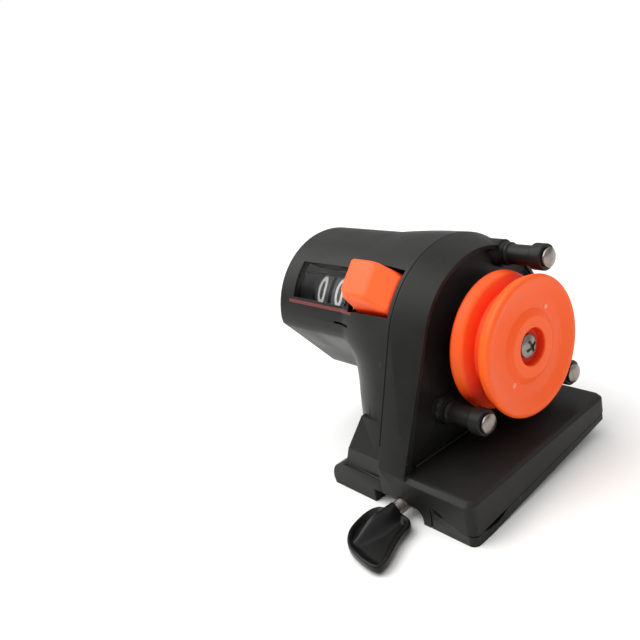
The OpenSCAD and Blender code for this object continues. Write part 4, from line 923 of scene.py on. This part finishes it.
class LINECOUNTER_OT_guides(bpy.types.Operator):
    """Turns the guide rollers and their domed pins"""

    bl_idname = "line_counter.guides"
    bl_label = "Guides"

    def execute(self, context):
        g = context.scene.line_counter.guide
        for where in ("top", "front", "rear"):
            self.roller(g, where)
            self.pin(g, where)
        return {"FINISHED"}

    def roller(self, g, where):
        """A roller with its inner flange and outer collar."""
        node = "guide_roller_" + where
        low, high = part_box(node)
        bore = g.pin_d / 2 + g.bore_gap
        body, flange, collar = g.roller_d / 2, g.flange_d / 2, (high.z - low.z) / 2
        flange_x, collar_x = low.x + g.flange_w, high.x - g.collar_w
        crisp, soft = 0.2 * MM, 0.3 * MM
        profile = [
            (low.x, bore, 0), (low.x, flange, crisp), (flange_x, flange, crisp),
            (flange_x + g.flange_slope, body, soft), (collar_x - g.collar_slope, body, g.collar_slope),
            (collar_x, collar, soft), (high.x, collar, g.collar_edge), (high.x, bore, 0)]
        mesh = turned("guide-roller-" + where, profile, middle(node), "black_abs", g.segments)
        place(mesh, "guide-roller-" + where, "black_abs", "roller_" + where, "black_abs", node)

    def pin(self, g, where):
        """A pin with its domed head."""
        node = "guide_pin_" + where
        low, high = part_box(node)
        shank = g.pin_d / 2
        seat = high.x - g.head_h
        tip_round, seat_round, edge_round = 0.2 * MM, 0.1 * MM, 0.25 * MM
        rows = [(low.x, 0, 0), (low.x, shank, tip_round), (seat, shank, 0)]
        rows += domed_head(seat, high.x, (high.z - low.z) / 2, g.head_edge, seat_round, edge_round)
        mesh = turned("guide-pin-" + where, rows, middle(node), "steel", g.segments, closed=False)
        place(mesh, "guide-pin-" + where, "steel", "frame", "steel", node)


class LINECOUNTER_OT_button(bpy.types.Operator):
    """Makes the reset button with its rounded edges and its comb, and winds its spring"""

    bl_idname = "line_counter.button"
    bl_label = "Reset button"

    def execute(self, context):
        b = context.scene.line_counter.button
        low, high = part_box("reset_button")
        half = b.flat_w / 2
        rows = [
            (b.foot_left, b.foot_low, b.seat), (high.x, b.foot_low, b.seat), (high.x, b.foot_right, b.seat),
            (low.x, b.foot_high, b.seat), (low.x, -half, b.top), (b.ridge_x, -half, b.top),
            (high.x, b.foot_low + b.draft_low, b.low), (high.x, b.foot_right - b.draft_high, b.low),
            (b.ridge_x, half, b.top), (low.x, half, b.top)]
        mesh = bpy.data.meshes.new("reset-button")
        work = bmesh.new()
        corners = [work.verts.new(row) for row in rows]
        bmesh.ops.convex_hull(work, input=corners)
        bmesh.ops.dissolve_limit(work, angle_limit=math.radians(1), verts=work.verts, edges=work.edges)
        bmesh.ops.bevel(work, geom=list(work.edges), offset=b.edge, segments=5, profile=0.5, affect="EDGES",
                        clamp_overlap=True)
        bmesh.ops.transform(work, matrix=on_drum(b.direction), verts=work.verts)
        work.to_mesh(mesh)
        work.free()
        place(close_up(mesh, 40), "reset-button", "orange_abs", "reset", "orange_abs", "reset_button")
        rise = b.seat - b.shelf - b.wire
        mesh = coil("reset-spring", (b.coil_d - b.wire) / 2, rise, b.turns, b.wire / 2)
        foot = Matrix.Translation((middle("reset_spring").x, 0, b.shelf + b.wire / 2))
        mesh.transform(on_drum(b.direction) @ foot)
        place(close_up(mesh), "reset-spring", "steel", "frame", "steel", "reset_spring")
        smooth_copy("reset_comb", "reset-comb", "black_abs")
        return {"FINISHED"}


class LINECOUNTER_OT_numbers(bpy.types.Operator):
    """Prints plain numbers round each wheel, and makes the window's well and the red index line"""

    bl_idname = "line_counter.numbers"
    bl_label = "Numbers"

    def execute(self, context):
        c = context.scene.line_counter.counter
        for rank, body in enumerate(("units", "tens", "hundreds")):
            smooth_copy("number_wheel_" + body, "number-wheel-" + body, "grey_acetal")
            self.numbers(c, body, c.units_x - rank * c.pitch)
        self.well(c)
        red = skin_strip("index-line", ("counter_housing",), c.drum_z, c.print_t,
                         steps(c.line_from, c.line_to, 60), steps(c.line_high, c.line_low, 6))
        place(red, "index-line", "red_ink", "frame", "orange_abs")
        return {"FINISHED"}

    def glyph(self, c, text):
        """A number as a flat slab, before it is sized and bent round its wheel."""
        curve = bpy.data.curves.new("digit", "FONT")
        curve.body = text
        curve.resolution_u = 6
        curve.extrude = 0.5
        curve.offset = c.stroke
        holder = bpy.data.objects.new("digit", curve)
        bpy.context.scene.collection.objects.link(holder)
        mesh = bpy.data.meshes.new_from_object(holder.evaluated_get(bpy.context.evaluated_depsgraph_get()))
        bpy.data.objects.remove(holder)
        return mesh

    def numbers(self, c, body, middle_x):
        """The numbers 0 to 9 round one wheel."""
        node = "number_wheel_" + body
        low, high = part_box(node)
        axis = middle(node)
        radius = (high.z - low.z) / 2
        work = bmesh.new()
        for digit in range(10):
            glyph = self.glyph(c, str(digit))
            xs = [v.co.x for v in glyph.vertices]
            ys = [v.co.y for v in glyph.vertices]
            left, right, bottom, top = min(xs), max(xs), min(ys), max(ys)
            wide = c.digit_w * (c.one_w if digit == 1 else 1)
            for v in glyph.vertices:
                across = (v.co.x - (right + left) / 2) / (right - left) * wide
                up = (v.co.y - (top + bottom) / 2) / (top - bottom) * c.digit_h
                turn = c.zero_at - digit * math.tau / 10 - up / radius
                r = radius + (c.print_t if v.co.z > 0 else -c.print_t)
                v.co = (middle_x + across, axis.y - r * math.sin(turn), axis.z + r * math.cos(turn))
            work.from_mesh(glyph)
        mesh = bpy.data.meshes.new("numbers-" + body)
        work.to_mesh(mesh)
        work.free()
        place(close_up(mesh), "numbers-" + body, "white_ink", body, "white_acetal")

    def shield(self, left, right, turn_from, turn_to, radius, thick, centre):
        """A curved wall round the number wheels, between two directions."""
        number = 24
        points, faces = [], []
        for turn in steps(turn_from, turn_to, number):
            for r in (radius, radius + thick):
                for x in (left, right):
                    points.append((x, centre.y - r * math.sin(turn), centre.z + r * math.cos(turn)))
        for a in range(0, 4 * number, 4):
            faces += [(a, a + 1, a + 5, a + 4), (a + 2, a + 6, a + 7, a + 3), (a, a + 4, a + 6, a + 2),
                      (a + 1, a + 3, a + 7, a + 5)]
        last = 4 * number
        faces += [(0, 2, 3, 1), (last, last + 1, last + 3, last + 2)]
        return from_rows("shield", points, faces)

    def well(self, c):
        """Walls and a mask from the window down to the number wheels, and the blank at their left."""
        low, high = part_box("window_lens")
        turn = on_drum(c.window)
        wheel = turn.inverted() @ middle("number_wheel_tens")
        wheel_low, wheel_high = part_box("number_wheel_tens")
        reach = (wheel_high.z - wheel_low.z) / 2 + c.well_gap
        half, top, wall = c.well_half, c.well_top, c.well_t
        foot = wheel.z + math.sqrt(reach ** 2 - half ** 2)
        left = low.x - c.mask_past
        mask_from = c.mask_from - c.window
        walls = [block("well", (low.x, -half - wall, foot), (high.x, -half, top)),
                 block("well", (low.x, half, foot), (high.x, half + wall, top)),
                 block("well", (high.x, -half, wheel.z + c.well_end * reach), (high.x + wall, half, top)),
                 self.shield(left, high.x, mask_from, c.mask_to - c.window, reach, wall, wheel)]
        blank = self.shield(left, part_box("number_wheel_hundreds")[0].x - c.blank_gap, mask_from, c.blank_to,
                            reach - c.blank_drop, wall, wheel)
        blank.transform(turn)
        place(close_up(blank), "wheel-blank", "grey_acetal", "frame", "white_acetal")
        mesh = joined("window-well", *walls)
        mesh.transform(turn)
        place(close_up(mesh), "window-well", "black_abs", "frame", "black_abs")


class LINECOUNTER_OT_clamp(bpy.types.Operator):
    """Shapes the clamp paddle with its rim, dish and rib, and threads the bolt"""

    bl_idname = "line_counter.clamp"
    bl_label = "Clamp"

    def execute(self, context):
        c = context.scene.line_counter.clamp
        shell, rim = self.edge(c, self.outline(c))
        mesh = joined("clamp-paddle", shell, self.dish(c, rim))
        mesh.transform(Matrix.Translation((c.axis_x, c.paddle_y, 0)))
        place(close_up(mesh, 50), "clamp-paddle", "gloss_black", "clamp", "gloss_black", "clamp_paddle")
        smooth_copy("clamp_bolt", "clamp-bolt", "steel")
        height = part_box("main_frame")[0].y - c.paddle_y - 2 * c.thread_gap
        mesh = coil("bolt-thread", c.bolt_d / 2 - c.ridge_sink, height, height / c.pitch, c.ridge)
        mesh.transform(Matrix.Translation((c.axis_x, c.paddle_y + c.thread_gap, c.axis_z))
                       @ Matrix.Rotation(-math.pi / 2, 4, "X"))
        place(close_up(mesh), "bolt-thread", "steel", "clamp", "steel")
        return {"FINISHED"}

    def outline(self, c):
        """The paddle's outline from above: ten corners, cut to a smooth curve."""
        half, long = c.width / 2, c.length
        corners = [
            (-half, -0.11 * long), (-0.82 * half, -0.6 * long), (-0.3 * half, -0.84 * long),
            (0.38 * half, -0.95 * long), (c.toe, -long), (c.toe, -0.78 * long), (1.12 * half, -0.35 * long),
            (half, -0.07 * long), (0.43 * half, 0), (-0.27 * half, 0)]
        for _ in range(4):
            corners = [tuple(p[i] + (q[i] - p[i]) * t for i in (0, 1))
                       for p, q in zip(corners, corners[1:] + corners[:1]) for t in (0.25, 0.75)]
        return corners

    def edge(self, c, outline):
        """The paddle's underside and rounded edge, and the rim where its upper face starts."""
        base, top = c.top - c.thick, c.top
        # Rings of inset and height, from the underside round the edge to the rim
        rings = [(1.2 * MM, base), (0.5 * MM, base + 0.15 * MM), (0.1 * MM, base + 0.6 * MM),
                 (0, base + 0.5 * c.thick), (0.06 * MM, top - 0.5 * MM), (0.25 * MM, top - 0.1 * MM),
                 (0.5 * MM, top)]
        number = len(outline)
        points, faces = [], []
        for inset, z in rings:
            for k in range(number):
                before, here, after = outline[k - 1], outline[k], outline[(k + 1) % number]
                run = Vector((after[0] - before[0], after[1] - before[1])).normalized()
                points.append((here[0] - run.y * inset, here[1] + run.x * inset, z))
        for row in range(len(rings) - 1):
            for k in range(number):
                a, b = row * number + k, row * number + (k + 1) % number
                faces.append((a, b, b + number, a + number))
        faces.append(tuple(reversed(range(number))))
        return from_rows("paddle-rim", points, faces), [Vector(p[:2]) for p in points[-number:]]

    def away(self, spot, p, q):
        """Distance from a spot to the edge between two points."""
        near, part = intersect_point_line(spot, p, q)
        near = p if part < 0 else q if part > 1 else near
        return (spot - near.to_2d()).length

    def grid(self, c, rim):
        """Points of a square grid inside the rim, each with its distance to the rim."""
        edges = list(zip(rim, rim[1:] + rim[:1]))
        wide = math.ceil(max(abs(p.x) for p in rim) / c.dish_grid)
        long = math.ceil(max(-p.y for p in rim) / c.dish_grid)
        found = []
        for i in range(-wide, wide + 1):
            for k in range(long + 1):
                spot = Vector((i * c.dish_grid, -k * c.dish_grid))
                crossings = sum(
                    (p.y > spot.y) != (q.y > spot.y)
                    and spot.x < (q.x - p.x) * (spot.y - p.y) / (q.y - p.y) + p.x for p, q in edges)
                gap = min(self.away(spot, p, q) for p, q in edges) if crossings % 2 else 0
                if gap > c.dish_grid / 2:
                    found.append((spot, gap))
        return found

    def dish(self, c, rim):
        """The paddle's upper face: down from its rim into the dish, and up again over the bolt's rib."""
        inner = self.grid(c, rim)
        gaps = [0] * len(rim) + [gap for _, gap in inner]
        flat, _, faces, sources, _, _ = delaunay_2d_cdt(
            rim + [spot for spot, _ in inner], [], [list(range(len(rim)))], 1, 1e-7)
        floor = c.top - c.dish
        crown = c.axis_z + c.bolt_d / 2 + c.cover - floor
        points = []
        for spot, source in zip(flat, sources):
            gap = gaps[source[0]]
            fade = 1 - ease((-spot.y - c.bolt_hold) / (c.rib_run * c.length))
            wide = c.rib_w * (c.rib_end_w + (1 - c.rib_end_w) * fade)
            rib = crown * (c.rib_end + (1 - c.rib_end) * fade) * (1 - ease(abs(spot.x) / wide))
            slope = c.dish * (1 - ease(gap / c.dish_slope))
            points.append((spot.x, spot.y, floor + max(slope, rib) if gap else c.top))
        return from_rows("paddle-dish", points, [tuple(f) for f in faces])


class LINECOUNTER_OT_stage(bpy.types.Operator):
    """Makes the floor, the light and the camera"""

    bl_idname = "line_counter.stage"
    bl_label = "Stage"

    def execute(self, context):
        s = context.scene.line_counter.stage
        scene = context.scene
        scene.view_settings.view_transform = "Standard"
        r = s.reach
        mesh = from_rows("floor", [(-r, -r, 0), (r, -r, 0), (r, r, 0), (-r, r, 0)], [(0, 1, 2, 3)])
        mesh.materials.append(painted_floor("pale_floor", s.floor))
        floor = bpy.data.objects.new("floor", mesh)
        scene.collection.objects.link(floor)
        scene.world = self.room(s)
        light = bpy.data.lights.new("key", "SUN")
        light.energy = s.key
        light.angle = s.key_soft
        lamp = bpy.data.objects.new("key", light)
        lamp.rotation_mode = "QUATERNION"
        lamp.rotation_quaternion = Vector(s.key_along).to_track_quat("-Z", "Y")
        scene.collection.objects.link(lamp)
        camera = bpy.data.cameras.new("camera")
        camera.lens = s.lens
        camera.sensor_width = s.sensor
        eye = bpy.data.objects.new("camera", camera)
        right, up, ahead = (Vector(v).normalized() for v in (s.camera_right, s.camera_up, s.camera_ahead))
        turn = Matrix((right, up, -ahead)).transposed()
        eye.matrix_world = Matrix.Translation((s.camera_x, s.camera_y, s.camera_z)) @ turn.to_4x4()
        scene.collection.objects.link(eye)
        scene.camera = eye
        return {"FINISHED"}

    def room(self, s):
        """White surroundings, dim near the horizon and bright overhead; the camera sees plain white."""
        world = bpy.data.worlds.new("studio")
        world.use_nodes = True
        tree = world.node_tree
        coords = add(tree, "ShaderNodeTexCoord").outputs["Generated"]
        height = add(tree, "ShaderNodeSeparateXYZ", {0: coords}).outputs["Z"]
        glow = add(tree, "ShaderNodeMapRange", {
            "Value": height, "To Min": s.sky_low * s.sky, "To Max": s.sky_high * s.sky}).outputs["Result"]
        seen = add(tree, "ShaderNodeLightPath").outputs["Is Camera Ray"]
        strength = add(tree, "ShaderNodeMix", {"Factor": seen, "A": glow, "B": 1.0})
        back = tree.nodes["Background"]
        back.inputs["Color"].default_value = (1.0, 1.0, 1.0, 1.0)
        tree.links.new(strength.outputs["Result"], back.inputs["Strength"])
        return world


class LINECOUNTER_PT_panel(bpy.types.Panel):
    """Lists the steps of the line counter"""

    bl_idname = "LINECOUNTER_PT_panel"
    bl_label = "Line counter"
    bl_space_type = "VIEW_3D"
    bl_region_type = "UI"
    bl_category = "Line counter"

    def draw(self, context):
        for step in STEPS:
            self.layout.operator(step.bl_idname)


STEPS = (LINECOUNTER_OT_finishes, LINECOUNTER_OT_shells, LINECOUNTER_OT_wheel, LINECOUNTER_OT_screw,
         LINECOUNTER_OT_guides, LINECOUNTER_OT_button, LINECOUNTER_OT_numbers, LINECOUNTER_OT_clamp,
         LINECOUNTER_OT_stage)
GROUPS = (ShellSettings, WheelSettings, ScrewSettings, GuideSettings, CounterSettings, ButtonSettings,
          ClampSettings, FinishSettings, StageSettings, LineCounterSettings)


def register():
    """Registers the classes and the settings."""
    for cls in GROUPS + STEPS + (LINECOUNTER_PT_panel,):
        bpy.utils.register_class(cls)
    bpy.types.Scene.line_counter = bpy.props.PointerProperty(type=LineCounterSettings)


def unregister():
    """Removes them again."""
    del bpy.types.Scene.line_counter
    for cls in reversed(GROUPS + STEPS + (LINECOUNTER_PT_panel,)):
        bpy.utils.unregister_class(cls)


def main():
    """Builds the pieces in order."""
    register()
    for step in STEPS:
        area, call = step.bl_idname.split(".")
        getattr(getattr(bpy.ops, area), call)()


if __name__ == "__main__":
    main()
